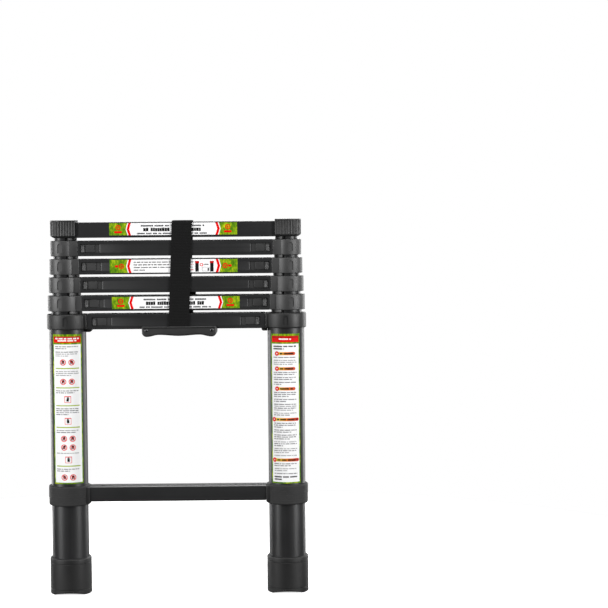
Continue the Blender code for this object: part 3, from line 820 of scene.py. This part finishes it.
def make_button(section, side):
    hand = SIDES[side]
    node = f"release_button_{section}_{hand}"
    low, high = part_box(node)
    mid = (low.z + high.z) / 2
    outer_end = max(abs(low.x), abs(high.x))
    plate_front = -RUNG_DEPTH / 2 + RUNG_WALL + GAP
    plate_back = plate_front + 3 * MM

    def span(start, length):
        return sorted((side * (outer_end - start), side * (outer_end - start - length)))

    bm = bmesh.new()
    x0, x1 = span(0, 40 * MM)
    plate = box_outline(x0, x1, low.z, high.z, 1.5 * MM, 4)
    add_slab(bm, plate, plate_front, plate_back, 0.4 * MM, facing_front)
    # the middle of the plate stands up into the window, short of its inner end by the button's travel
    x0, x1 = span(0.1 * MM, WINDOW_LENGTH - 1.4 * MM - joint_travel(f"button_{section}_{hand}_slide"))
    panel = box_outline(x0, x1, mid - 6.5 * MM, mid + 6.5 * MM, 1.0 * MM, 4)
    add_slab(bm, panel, -RUNG_DEPTH / 2 + 0.5 * MM, plate_front + 0.5 * MM, 0.5 * MM, facing_front)
    x0, x1 = span(ARM_SETBACK, 6 * MM)
    arm = box_outline(x0, x1, plate_back - 1 * MM, high.y, 0.8 * MM, 3)
    add_slab(bm, arm, mid - 5.5 * MM, mid + 5.5 * MM, 0.4 * MM)
    x0, x1 = span(0.1 * MM, 7 * MM)
    grip = grip_outline(x0, x1, low.y + 0.9 * MM, plate_front + 1 * MM)
    add_slab(bm, grip, mid - 6.3 * MM, mid + 6.3 * MM, 0.6 * MM)
    piece = finished(f"{node}_slider", bm, LOOKS["button"])
    settle(piece, f"button_{section}_{hand}", "button_plastic", node)

    # the lock pin, with a chamfered tip and a groove for its clip
    node = f"lock_pin_{section}_{hand}"
    low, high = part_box(node)
    length = high.x - low.x
    radius = (high.z - low.z) / 2
    tail = low.x if side > 0 else high.x
    steps = [(radius - 0.4 * MM, 0), (radius, 0.4 * MM), (radius, 1.2 * MM), (radius - 0.4 * MM, 1.4 * MM),
             (radius - 0.4 * MM, 1.9 * MM), (radius, 2.1 * MM), (radius, length - 1.0 * MM),
             (radius - 0.9 * MM, length)]
    loops = []
    for reach, along in steps:
        x = tail + (along if side > 0 else -along)
        loops.append([(x, y, z) for y, z in circle(((low.y + high.y) / 2, (low.z + high.z) / 2), reach)])
    bm = bmesh.new()
    loft(bm, loops)
    settle(finished(f"{node}_turned", bm, LOOKS["pin"]), f"button_{section}_{hand}", "pin_steel", node)


# ================================================================ feet and handle

def make_foot(side):
    node = f"foot_{SIDES[side]}"
    low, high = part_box(node)
    at = Vector((side * BASE_LEG_X, 0, 0))
    radius = (high.x - low.x) / 2
    inner = tube_radius(1) + GAP
    top = high.z
    profile = [(0.5 * MM, 0), (radius - 1.2 * MM, 0), (radius, 1.2 * MM)]
    for z in (9 * MM, top - 9 * MM):
        profile += ring_groove(radius, z, 0.5 * MM, 0.8 * MM, 0.3 * MM)
    lip = 2.6 * MM
    profile += arc((radius - lip, top - lip), lip, 0, math.pi / 2, 6)
    profile += [(inner + 0.3 * MM, top), (inner, top - 0.5 * MM), (inner, 12 * MM), (0.5 * MM, 12 * MM)]
    bm = bmesh.new()
    turned(bm, profile, at, joined=False)
    piece = finished(f"{node}_boot", bm, LOOKS["foot"])

    pad_x, arch = 26 * MM, 3 * MM
    arch_radius = (pad_x ** 2 + arch ** 2) / (2 * arch)
    half_angle = math.asin(pad_x / arch_radius)
    curve = arc((0, arch - arch_radius), arch_radius, math.pi / 2 + half_angle, math.pi / 2 - half_angle, 24)
    curve += [(pad_x, -5 * MM), (-pad_x, -5 * MM)]
    cut(piece, [[(at.x + x, y, z) for x, z in curve] for y in (-radius * 2, radius * 2)])
    ends = at.x - radius * 2, at.x + radius * 2
    for sign in (-1, 1):
        half_depth, turn_up = 22 * MM, 5 * MM
        beyond = radius + 10 * MM
        rise = turn_up / (radius - half_depth) * (beyond - half_depth)
        wedge = [(sign * half_depth, 0), (sign * beyond, rise), (sign * beyond, -5 * MM),
                 (sign * half_depth, -5 * MM)]
        cut(piece, prism(wedge, *ends))
    # tread grooves across the sole
    for i in range(-2, 3):
        y = i * 8 * MM
        cut(piece, prism(box_outline(y - 0.9 * MM, y + 0.9 * MM, -2 * MM, 1.4 * MM, 0.4 * MM, 2), *ends))
    settle(piece, "base", "foot_rubber", node)


def make_handle():
    node = "carrying_handle"
    low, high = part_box(node)
    centre, half_length = middle(node).x, (high.x - low.x) / 2
    lobe_z, valley_z, middle_z = low.z, low.z + 3.3 * MM, low.z + 1.4 * MM
    lobe_x, valley_x, corner = 55.5 * MM, 34.5 * MM, 8 * MM
    keys = [(-lobe_x, lobe_z), (-valley_x, valley_z), (0, middle_z), (valley_x, valley_z), (lobe_x, lobe_z)]
    wave = []
    for (x0, z0), (x1, z1) in zip(keys, keys[1:]):
        for i in range(14):
            blend = (1 - math.cos(math.pi * i / 14)) / 2
            wave.append((x0 + (x1 - x0) * i / 14, z0 + (z1 - z0) * blend))
    wave.append(keys[-1])
    corner_z = lobe_z + corner
    left = arc((corner - half_length, corner_z), corner, math.pi, 1.45 * math.pi, 10)
    right = arc((half_length - corner, corner_z), corner, 1.55 * math.pi, math.tau, 10)
    tip = 1.5 * MM
    outline = left + wave + right
    outline += arc((half_length - tip, high.z - tip), tip, 0, math.pi / 2, 4)
    outline += arc((tip - half_length, high.z - tip), tip, math.pi / 2, math.pi, 4)
    bm = bmesh.new()
    add_slab(bm, outline, low.y, high.y, 3.2 * MM, lambda x, z, y: (centre + x, y, z), 6)
    piece = finished("carrying_handle_grip", bm, LOOKS["handle"])
    pocket = RUNG_DEPTH / 2 + GAP
    floor = rung_top(1) - RUNG_HEIGHT - GAP
    cuts = [((-1, 1), (-pocket, pocket), (floor, floor + 0.2))]
    for sign in (-1, 1):
        ys = sorted((sign * (pocket - 1 * MM), sign * (RUNG_DEPTH / 2 + 3.4 * MM)))
        cuts.append((STRAP_SLOT, ys, (SLOT_FLOOR, 0.6)))
    for xs, ys, zs in cuts:
        outline = box_outline(*xs, *ys, 0.3 * MM, 2)
        cut(piece, [[(x, y, z) for x, y in outline] for z in zs])
    settle(piece, "base", "handle_plastic", node)

    # one screw at each end of the front lip
    for side in SIDES:
        add_screw(f"handle_screw_{SIDES[side]}", Vector((centre + side * 56 * MM, low.y, high.z - 7 * MM)),
                  2.6 * MM, "base", "handle_plastic")


def add_screw(name, at, radius, body, slot):
    """A low domed cross-head screw, facing the front."""
    rows = [(radius, 0.3 * MM), (radius, 0), (radius * 0.85, -0.35 * MM), (radius * 0.5, -0.6 * MM),
            (radius * 0.05, -0.7 * MM)]
    loops = []
    for reach, y in rows:
        loops.append([(x, at.y + y, z) for x, z in circle((at.x, at.z), reach, 40)])
    bm = bmesh.new()
    loft(bm, loops)
    piece = finished(name, bm, LOOKS["rivet"])
    for wide, tall in ((0.62, 0.13), (0.13, 0.62)):
        outline = box_outline(at.x - radius * wide, at.x + radius * wide,
                              at.z - radius * tall, at.z + radius * tall, 0.1 * MM, 1)
        cut(piece, [[(x, at.y + y, z) for x, z in outline] for y in (-2 * MM, -0.15 * MM)])
    settle(piece, body, slot)


# ================================================================ strap

STRAP_LOW, STRAP_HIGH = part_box("strap")
STRAP_WIDTH = 34.8 * MM
STRAP_THICKNESS = 1.8 * MM
STRAP_BEND = 3 * MM
STRAP_STEP = 0.32 * MM          # between points along the strap


def strap_path():
    """Points (y, z) along the strap's middle, front end first, with the outward normal of each."""
    half = STRAP_HIGH.y - STRAP_THICKNESS / 2
    crest = STRAP_HIGH.z - STRAP_THICKNESS / 2
    turn = crest - STRAP_BEND
    straight = turn - STRAP_LOW.z
    bend = STRAP_BEND * math.pi / 2
    flat = 2 * (half - STRAP_BEND)
    length = 2 * straight + 2 * bend + flat
    count = int(length / STRAP_STEP)
    points = []
    for i in range(count + 1):
        s = length * i / count
        if s < straight:
            y, z, angle = -half, STRAP_LOW.z + s, math.pi
        elif s < straight + bend:
            angle = math.pi - (s - straight) / STRAP_BEND
            y, z = STRAP_BEND - half + STRAP_BEND * math.cos(angle), turn + STRAP_BEND * math.sin(angle)
        elif s < straight + bend + flat:
            y, z, angle = STRAP_BEND - half + (s - straight - bend), crest, math.pi / 2
        elif s < length - straight:
            angle = math.pi / 2 - (s - straight - bend - flat) / STRAP_BEND
            y, z = half - STRAP_BEND + STRAP_BEND * math.cos(angle), turn + STRAP_BEND * math.sin(angle)
        else:
            y, z, angle = half, STRAP_LOW.z + (length - s), 0.0
        points.append((s, y, z, (math.cos(angle), math.sin(angle))))
    return points, length


def strap_middle(z):
    """The strap's middle in x at a height: it leans a little to one side going up."""
    share = (z - STRAP_LOW.z) / (STRAP_HIGH.z - STRAP_LOW.z)
    foot, head = STRAP_LOW.x + STRAP_WIDTH / 2, STRAP_HIGH.x - STRAP_WIDTH / 2
    return foot + (head - foot) * share


def band(name, path, width, thickness, rib_pitch, rib_height, material, middle_at=strap_middle):
    """A flat band along a path, woven in fine rows across, with a plain edge on each side."""
    across = [0.0, 0.035, 0.06, 0.2, 0.4, 0.6, 0.8, 0.94, 0.965, 1.0]
    bm = bmesh.new()
    loops = []
    for s, y, z, normal in path:
        wave = 0.5 + 0.5 * math.cos(math.tau * s / rib_pitch)
        mid = middle_at(z)
        outer, inner = [], []
        for share in across:
            edge = share < 0.05 or share > 0.95
            rise = rib_height * (0.25 if edge else wave)
            drop = thickness * 0.22 if share in (0.0, 1.0) else 0.0
            half = thickness / 2 - rib_height - drop + rise
            x = mid + (share - 0.5) * width
            outer.append((x, y + normal[0] * half, z + normal[1] * half))
            inner.append((x, y - normal[0] * half, z - normal[1] * half))
        loops.append(outer + list(reversed(inner)))
    loft(bm, loops)
    return finished(name, bm, material, math.radians(60))


def stitch_row(name, x_offset, middle_at, z0, z1, y, count, material):
    """A line of short raised stitches."""
    bm = bmesh.new()
    length = (z1 - z0) / count
    for i in range(count):
        z = z0 + length * (i + 0.5)
        x = middle_at(z) + x_offset
        loops = []
        for share in (-0.42, -0.3, 0.0, 0.3, 0.42):
            lift = 0.18 * MM if abs(share) < 0.4 else 0.0
            ring = circle((x, y + lift), 0.28 * MM, 8)
            loops.append([(px, py, z + share * length) for px, py in ring])
        loft(bm, loops)
    return finished(name, bm, material)


def make_strap():
    path, length = strap_path()
    piece = band("strap_band", path, STRAP_WIDTH, STRAP_THICKNESS, 2.64 * MM, 0.34 * MM, LOOKS["strap"])
    settle(piece, "section_6", "strap_webbing", "strap")

    # behind the ladder the free end doubles back over the band, leaning a little to one side
    y = STRAP_HIGH.y + 0.9 * MM
    foot, head, lean = 463 * MM, 535 * MM, 0.156
    tail = []
    for i in range(226):
        z = foot + (head - foot) * i / 225
        tail.append((z, y, z, (1.0, 0.0)))

    def tail_middle(z):
        return strap_middle(foot) + 2.4 * MM + (z - foot) * lean

    over = band("strap_tail", tail, STRAP_WIDTH - 0.6 * MM, 1.6 * MM, 1.28 * MM, 0.15 * MM,
                LOOKS["strap"], tail_middle)
    settle(over, "section_6", "strap_webbing")
    for x_offset in (-13 * MM, 13 * MM):
        row = stitch_row(f"strap_stitch_{'left' if x_offset < 0 else 'right'}", x_offset, tail_middle,
                         foot + 3 * MM, head - 3 * MM, y + 0.75 * MM, 26, LOOKS["thread"])
        settle(row, "section_6", "strap_webbing")


# ================================================================ labels

class Label:
    """Print on thin vinyl. Points are (across, down) from the label's top left corner."""

    def __init__(self, name, place, width, height, bend_step=None):
        self.name = name
        self.place = place
        self.width = width
        self.height = height
        self.bend_step = bend_step
        self.bm = bmesh.new()
        self.inks = []

    def faces(self, polygons, ink_name, layer):
        """Adds flat convex polygons as thin raised patches."""
        patch = bmesh.new()
        for polygon in polygons:
            patch.faces.new([patch.verts.new((u, v, 0)) for u, v in polygon])
        bmesh.ops.remove_doubles(patch, verts=patch.verts, dist=1e-6)
        if self.bend_step:
            columns = int(self.width / self.bend_step)
            for i in range(1, columns):
                everything = patch.verts[:] + patch.edges[:] + patch.faces[:]
                bmesh.ops.bisect_plane(patch, geom=everything, plane_co=(i * self.bend_step, 0, 0),
                                       plane_no=(1, 0, 0), dist=1e-7)
        grown = bmesh.ops.extrude_face_region(patch, geom=patch.faces[:])
        raised = {item for item in grown["geom"] if isinstance(item, bmesh.types.BMVert)}
        height = (0.10 + 0.05 * layer) * MM
        for vert in patch.verts:
            u, v = vert.co.x, vert.co.y
            vert.co = self.place(u, v, height if vert in raised else 0.02 * MM)
        if ink_name not in self.inks:
            self.inks.append(ink_name)
        index = self.inks.index(ink_name)
        bmesh.ops.recalc_face_normals(patch, faces=patch.faces)
        copies = {vert: self.bm.verts.new(vert.co) for vert in patch.verts}
        for face in patch.faces:
            made = self.bm.faces.new([copies[vert] for vert in face.verts])
            made.material_index = index
        patch.free()

    def rectangle(self, u0, u1, v0, v1, ink_name, layer):
        self.bars([(u0, u1, v0, v1)], ink_name, layer)

    def bars(self, boxes, ink_name, layer):
        self.faces([[(u0, v0), (u1, v0), (u1, v1), (u0, v1)] for u0, u1, v0, v1 in boxes], ink_name, layer)

    def disc(self, u, v, radius, ink_name, layer):
        self.faces([circle((u, v), radius, 28)], ink_name, layer)

    def ring(self, u, v, radius, width, ink_name, layer):
        outer = arc((u, v), radius, 0, math.tau, 28)
        inner = arc((u, v), radius - width, 0, math.tau, 28)
        quads = [[outer[i], outer[i + 1], inner[i + 1], inner[i]] for i in range(28)]
        self.faces(quads, ink_name, layer)

    def ring_box(self, u0, u1, v0, v1, line, head, ink_name, layer):
        """A thin rectangular frame. Its upper bar is head high."""
        self.bars([(u0, u1, v0, v0 + head), (u0, u1, v1 - line, v1), (u0, u0 + line, v0 + head, v1 - line),
                   (u1 - line, u1, v0 + head, v1 - line)], ink_name, layer)

    def sliver(self, start, end, width, ink_name, layer):
        """A straight bar between two points."""
        along = Vector(end) - Vector(start)
        out = Vector((-along.y, along.x)).normalized() * width / 2
        corners = [Vector(start) + out, Vector(end) + out, Vector(end) - out, Vector(start) - out]
        self.faces([[tuple(c) for c in corners]], ink_name, layer)

    def bracket_stripe(self, u, v0, v1, bulge, width, ink_name, layer):
        """A bent stripe from v0 to v1 whose middle stands out by bulge."""
        left, right = [], []
        for share, bend in ((0, 0), (0.5, bulge), (1, 0)):
            v = v0 + (v1 - v0) * share
            left.append((u + bend, v))
            right.append((u + bend + width, v))
        self.faces([[left[i], left[i + 1], right[i + 1], right[i]] for i in range(2)], ink_name, layer)

    def words(self, u0, u1, v, height, ink_name, layer, rng, glyph=None):
        """A greeked line: small plain blocks in groups, with a space between the groups."""
        glyph = glyph or height * 0.8
        space, group = glyph * 1.1, 0
        boxes, u = [], u0
        while u < u1 - glyph * 0.5:
            if group == 0:
                group = rng.randint(2, 8)
            end = min(u1, u + glyph * rng.uniform(0.75, 1.2))
            lift = height * rng.uniform(0.0, 0.12)
            boxes.append((u, end, v - height / 2 + lift, v + height / 2))
            group -= 1
            u = end + (space if group == 0 else glyph * 0.12)
        self.bars(boxes, ink_name, layer)

    def done(self, body, slot):
        mesh = bpy.data.meshes.new(self.name)
        self.bm.to_mesh(mesh)
        self.bm.free()
        for ink_name in self.inks:
            mesh.materials.append(INKS[ink_name])
        settle(linked(self.name, mesh), body, slot)


def emblem(label, u, v, beside):
    """A plain ring and bar, standing in for a mark. The bar is below the ring, or beside it."""
    label.ring(u, v, 4.4 * MM, 1.6 * MM, "red", 2)
    label.disc(u, v, 1.4 * MM, "red", 2)
    if beside:
        bar = (u - beside * 8.2 * MM - 2.8 * MM, u - beside * 8.2 * MM + 2.8 * MM, v - 1.7 * MM, v + 1.7 * MM)
    else:
        bar = (u - 6.4 * MM, u + 6.4 * MM, v + 6.2 * MM, v + 9.6 * MM)
    label.rectangle(*bar, "red", 2)


def rung_label(section, centre_x, width, height, drop, with_panels):
    face_y = -RUNG_DEPTH / 2
    top = rung_top(section) - drop

    def place(u, v, out):
        return (centre_x - width / 2 + u, face_y - out, top - v)

    rng = random.Random(section)
    label = Label(f"rung_label_{section}", place, width, height)
    green = 30 * MM
    label.rectangle(0, width, 0, height, "meadow", 0)
    bulge = 3.2 * MM
    label.rectangle(green + 1 * MM, width - green - 1 * MM, 0, height, "white", 1)
    for sign, start in ((-1, green + 1.2 * MM), (1, width - green - 1.2 * MM)):
        for setback, stripe, tone, layer in ((0, 5 * MM, "white", 1.2), (1.6 * MM, 4.3 * MM, "red", 2)):
            u = start + setback if sign < 0 else start - setback - stripe
            label.bracket_stripe(u, 0, height, sign * bulge, stripe, tone, layer)
    if with_panels:
        emblem(label, green - 10 * MM, height * 0.5, 1)
        emblem(label, width - green + 9 * MM, height * 0.5, -1)
        for i in range(4):
            end = 108 * MM if i < 3 else 60 * MM
            v = height * (0.2 + 0.2 * i)
            label.words(41 * MM, end, v, 1.8 * MM, "black" if i == 1 else "grey", 2, rng)
        for u in (146 * MM, 171.3 * MM):
            label.rectangle(u, u + 5.9 * MM, height * 0.22, height * 0.95, "black", 2)
            label.rectangle(u - 0.4 * MM, u + 6.3 * MM, height * 0.14, height * 0.3, "deep_red", 2.5)
        label.ring(156.6 * MM, height * 0.42, 2.9 * MM, 1.2 * MM, "red", 2)
        label.words(160.5 * MM, 168.5 * MM, height * 0.4, 1.6 * MM, "grey", 2, rng)
        label.ring_box(157.5 * MM, 170 * MM, height * 0.6, height * 0.92, 0.6 * MM, 0.6 * MM, "pale", 2)
        label.rectangle(167 * MM, 169 * MM, height * 0.68, height * 0.88, "black", 2.3)
        for i in range(4):
            v = height * (0.2 + 0.2 * i)
            label.words(136 * MM, 143 * MM, v, 1.5 * MM, "deep_red" if i % 2 else "grey", 2, rng)
    else:
        emblem(label, 15 * MM, height * 0.36, 0)
        emblem(label, width - 16 * MM, height * 0.36, 0)
        label.words(54 * MM, width - 56 * MM, height * 0.23, 2.9 * MM, "grey", 2, rng)
        label.words(58 * MM, width - 60 * MM, height * 0.54, 6.2 * MM, "black", 2, rng, 3.6 * MM)
        label.words(47 * MM, width - 49 * MM, height * 0.86, 2.7 * MM, "grey", 2, rng)
    label.done(body_of(section), "rung_tube")


def picture_row(label, v, centre, rng):
    """Two red rings, each with a plain dark shape and a slanting bar."""
    for u in (centre - 7.4 * MM, centre + 7.4 * MM):
        radius = 5.3 * MM
        label.ring(u, v, radius, 1.3 * MM, "red", 2)
        lean = rng.uniform(-0.6, 0.6)
        for i in range(2):
            shift = (i - 0.5) * 2.8 * MM
            start = (u + shift + lean * MM, v - 2.6 * MM)
            end = (u + shift - lean * 2 * MM, v + 2.8 * MM)
            label.sliver(start, end, 2.2 * MM, "black", 2)
        label.disc(u + lean * 2 * MM, v - 2.0 * MM, 1.6 * MM, "black", 2.3)
        diagonal = radius * 0.64
        label.sliver((u - diagonal, v - diagonal), (u + diagonal, v + diagonal), 0.9 * MM, "red", 2.8)


def square_picture(label, v, centre, rng):
    """A thin red frame round a plain dark shape."""
    half, line = 5.6 * MM, 0.8 * MM
    label.ring_box(centre - half, centre + half, v - half, v + half, line, line * 1.6, "red", 2)
    lean = rng.uniform(-0.8, 0.8) * MM
    label.sliver((centre + lean, v - 2.4 * MM), (centre - lean, v + 3.4 * MM), 4.0 * MM, "black", 2)
    label.disc(centre + lean, v - 2.4 * MM, 1.8 * MM, "grey", 2.3)


def pill(label, v, u0, u1, rng):
    """A heading bar that fades from yellow to red, with a red dot at its left end."""
    half = 2.7 * MM
    middle_u = [(u0 + 3 * MM, v + half)] + arc((u1 - half, v), half, math.pi / 2, -math.pi / 2, 10)
    outline = middle_u + [(u0 + 3 * MM, v - half)]
    label.faces([outline], "fade", 2)
    label.disc(u0 + 3.4 * MM, v, 3.9 * MM, "red", 2.4)
    label.disc(u0 + 3.4 * MM, v, 1.1 * MM, "white", 2.8)
    label.words(u0 + 9 * MM, u1 - 3 * MM, v, 3.0 * MM, "black", 2.4, rng, 1.9 * MM)


LEFT_FLOW = ["text 2", "text 3", "rings", "rule", "text 3", "rings", "rule", "text 2", "square", "rule",
             "text 4", "square", "rule", "text 2", "rings", "rings", "text 1", "square", "rule",
             "text 2", "rings"]
RIGHT_FLOW = ["bold 2", "pill short", "text 1", "text 3", "pill short", "text 2", "text 2", "text 2",
              "pill short", "text 3", "text 2", "text 4", "text 2", "pill long", "text 3", "text 2",
              "text 3", "text 3", "text 3", "text 1", "pill long", "text 2", "text 2", "text 1", "bold 2"]
FLOW_HEIGHTS = {"text": 3.3, "bold": 4.2, "rings": 13.6, "rule": 4.4, "square": 14.4, "pill": 8.4}
LEG_LABEL_SPANS = {-1: (0.4492, 0.1927), 1: (0.4472, 0.1905)}    # top and bottom


def flow_height(item):
    kind, _, count = item.partition(" ")
    lines = int(count) if kind in ("text", "bold") else 1
    return FLOW_HEIGHTS[kind] * lines * MM + (1.2 * MM if kind in ("text", "bold") else 0)


def leg_label(side, flow, turn, words_in_header):
    """A tall label wrapped round the front of a base tube."""
    radius = tube_radius(1)
    top, bottom = LEG_LABEL_SPANS[side]
    width, height = 55 * MM, top - bottom
    axis_x = side * BASE_LEG_X

    def place(u, v, out):
        angle = (u - width / 2) / radius + turn
        reach = radius + out
        return (axis_x + reach * math.sin(angle), -reach * math.cos(angle), top - v)

    rng = random.Random(side + 5)
    label = Label(f"leg_label_{SIDES[side]}", place, width, height, bend_step=1.6 * MM)
    border = 2.4 * MM
    label.rectangle(0, width, 0, height, "meadow", 0)
    head_top, head_bottom, panel_top = 3.6 * MM, 14.4 * MM, 17.2 * MM
    label.rectangle(border, width - border, head_top, head_bottom, "red", 1)
    label.rectangle(border, width - border, head_top, head_top + 4 * MM, "deep_red", 1.6)
    for i in range(words_in_header):
        v = head_top + (head_bottom - head_top) * (i + 1) / (words_in_header + 1)
        inset_u = (6 + 5 * i) * MM if words_in_header > 1 else 17 * MM
        label.words(inset_u, width - inset_u, v, 2.6 * MM, "white", 2.2, rng, 1.8 * MM)
    label.rectangle(border, width - border, panel_top, height - border, "white", 1)

    spare = height - border - panel_top - 3 * MM - sum(flow_height(item) for item in flow)
    extra = spare / len(flow)
    v = panel_top + 2.2 * MM
    left, right, centre = 6 * MM, width - 6.5 * MM, width / 2
    for item in flow:
        kind, _, count = item.partition(" ")
        tall = flow_height(item)
        if kind in ("text", "bold"):
            lines = int(count)
            pitch = (tall - 1.2 * MM) / lines
            for i in range(lines):
                last = i == lines - 1 and lines > 1
                end = left + (right - left) * (rng.uniform(0.35, 0.9) if last else rng.uniform(0.93, 1.0))
                thick = 2.4 * MM if kind == "bold" else 1.5 * MM
                tone = "black" if kind == "bold" else rng.choice(("grey", "grey", "pale"))
                label.words(left, end, v + pitch * (i + 0.5), thick, tone, 2, rng)
        elif kind == "rings":
            picture_row(label, v + tall / 2, centre, rng)
        elif kind == "square":
            square_picture(label, v + tall / 2, centre, rng)
        elif kind == "rule":
            label.rectangle(left, right, v + tall / 2 - 0.9 * MM, v + tall / 2 + 0.9 * MM, "lime", 2)
        elif kind == "pill":
            inset_u = 3.2 * MM if count == "long" else 9.5 * MM
            pill(label, v + tall / 2, inset_u, width - inset_u, rng)
        v += tall + extra
    label.done("base", "leg_tube")


# ================================================================ studio

CAMERA_PLACE = Vector((0.2007, -3.1005, 0.6620))
CAMERA_YAW, CAMERA_PITCH, CAMERA_ROLL = 0.00594, -0.05344, -0.0079
FOCAL_IN_FRAMES = 1805.7 / 608    # focal length over the width of the view


def make_camera():
    camera = bpy.data.cameras.new("camera")
    camera.sensor_width = 36
    camera.lens = FOCAL_IN_FRAMES * camera.sensor_width
    camera.clip_end = 50
    item = linked("camera", camera)
    forward = Vector((math.sin(CAMERA_YAW) * math.cos(CAMERA_PITCH),
                      math.cos(CAMERA_YAW) * math.cos(CAMERA_PITCH), math.sin(CAMERA_PITCH)))
    right = Vector((math.cos(CAMERA_YAW), -math.sin(CAMERA_YAW), 0))
    up = right.cross(forward)
    right, up = (right * math.cos(CAMERA_ROLL) + up * math.sin(CAMERA_ROLL),
                 up * math.cos(CAMERA_ROLL) - right * math.sin(CAMERA_ROLL))
    turned_axes = Matrix((right, up, -forward)).transposed().to_4x4()
    item.matrix_world = Matrix.Translation(CAMERA_PLACE) @ turned_axes
    bpy.context.scene.camera = item


def make_floor():
    """A round pale floor that the camera sees and that doesn't light the ladder."""
    bm = bmesh.new()
    bmesh.ops.create_circle(bm, cap_ends=True, segments=96, radius=1.1)
    bmesh.ops.translate(bm, verts=bm.verts, vec=(0, 0, -0.2 * MM))
    n = Nodes("studio_floor")
    n.colour(n.ramp(n.noise((0.7, 0.7, 0.7)), [(0.3, (0.80, 0.80, 0.80)), (0.7, (0.84, 0.84, 0.84))]))
    n.set(Roughness=0.9, Emission_Color=(1, 1, 1, 1), Emission_Strength=0.80)
    floor = finished("floor", bm, n.material)
    floor.visible_diffuse = floor.visible_glossy = False


def make_light(name, place, target, width, height, power):
    light = bpy.data.lights.new(name, "AREA")
    light.shape = "RECTANGLE"
    light.size = width
    light.size_y = height
    light.energy = power
    item = linked(name, light)
    item.location = place
    item.rotation_euler = (Vector(target) - Vector(place)).to_track_quat("-Z", "Y").to_euler()


def make_studio():
    """Softboxes in front and rim lights behind on both sides, a top and a back light, and a surround
    that is white to the camera and nearly black to the ladder."""
    for side in SIDES:
        azimuth = math.radians(60)
        place = (side * 2.2 * math.sin(azimuth), -2.2 * math.cos(azimuth), 0.75)
        make_light(f"softbox_{SIDES[side]}", place, (0, 0, 0.4), 0.6, 1.9, 50)
        make_light(f"rim_{SIDES[side]}", (side * 1.7, 1.6, 0.6), (0, 0, 0.4), 0.8, 1.8, 28)
    make_light("top_light", (0, -0.9, 2.6), (0, 0, 0.3), 1.6, 1.6, 26)
    make_light("back_light", (0.3, 2.2, 1.6), (0, 0, 0.4), 1.6, 1.6, 40)
    world = bpy.data.worlds.new("studio")
    bpy.context.scene.world = world
    world.use_nodes = True
    tree = world.node_tree
    background = tree.nodes["Background"]
    background.inputs["Color"].default_value = (0.035, 0.035, 0.037, 1)
    seen = tree.nodes.new("ShaderNodeBackground")
    seen.inputs["Color"].default_value = (1, 1, 1, 1)
    path = tree.nodes.new("ShaderNodeLightPath")
    mix = tree.nodes.new("ShaderNodeMixShader")
    tree.links.new(path.outputs["Is Camera Ray"], mix.inputs["Fac"])
    tree.links.new(background.outputs["Background"], mix.inputs[1])
    tree.links.new(seen.outputs["Background"], mix.inputs[2])
    tree.links.new(mix.outputs["Shader"], tree.nodes["World Output"].inputs["Surface"])
    view = bpy.context.scene.view_settings
    view.view_transform = "Standard"
    view.look = "None"


# ================================================================ everything

make_camera()
make_studio()
make_floor()
for section in range(1, SECTIONS + 1):
    make_stack_rung(section)
    for side in SIDES:
        make_tube(section, side)
        if section < SECTIONS:
            make_collar(section, side)
            make_button(section, side)
for side in SIDES:
    make_cap(side)
    make_bush(side)
    make_bottom_collar(side)
    make_foot(side)
make_bottom_rung()
make_handle()
make_strap()
rung_label(6, -3 * MM, 218 * MM, 20.8 * MM, 1.6 * MM, False)
rung_label(4, -3 * MM, 218 * MM, 22.4 * MM, 1.4 * MM, True)
rung_label(2, 0, 218 * MM, 20.8 * MM, 2.2 * MM, False)
leg_label(-1, LEFT_FLOW, math.radians(4), 2)
leg_label(1, RIGHT_FLOW, math.radians(-3), 1)
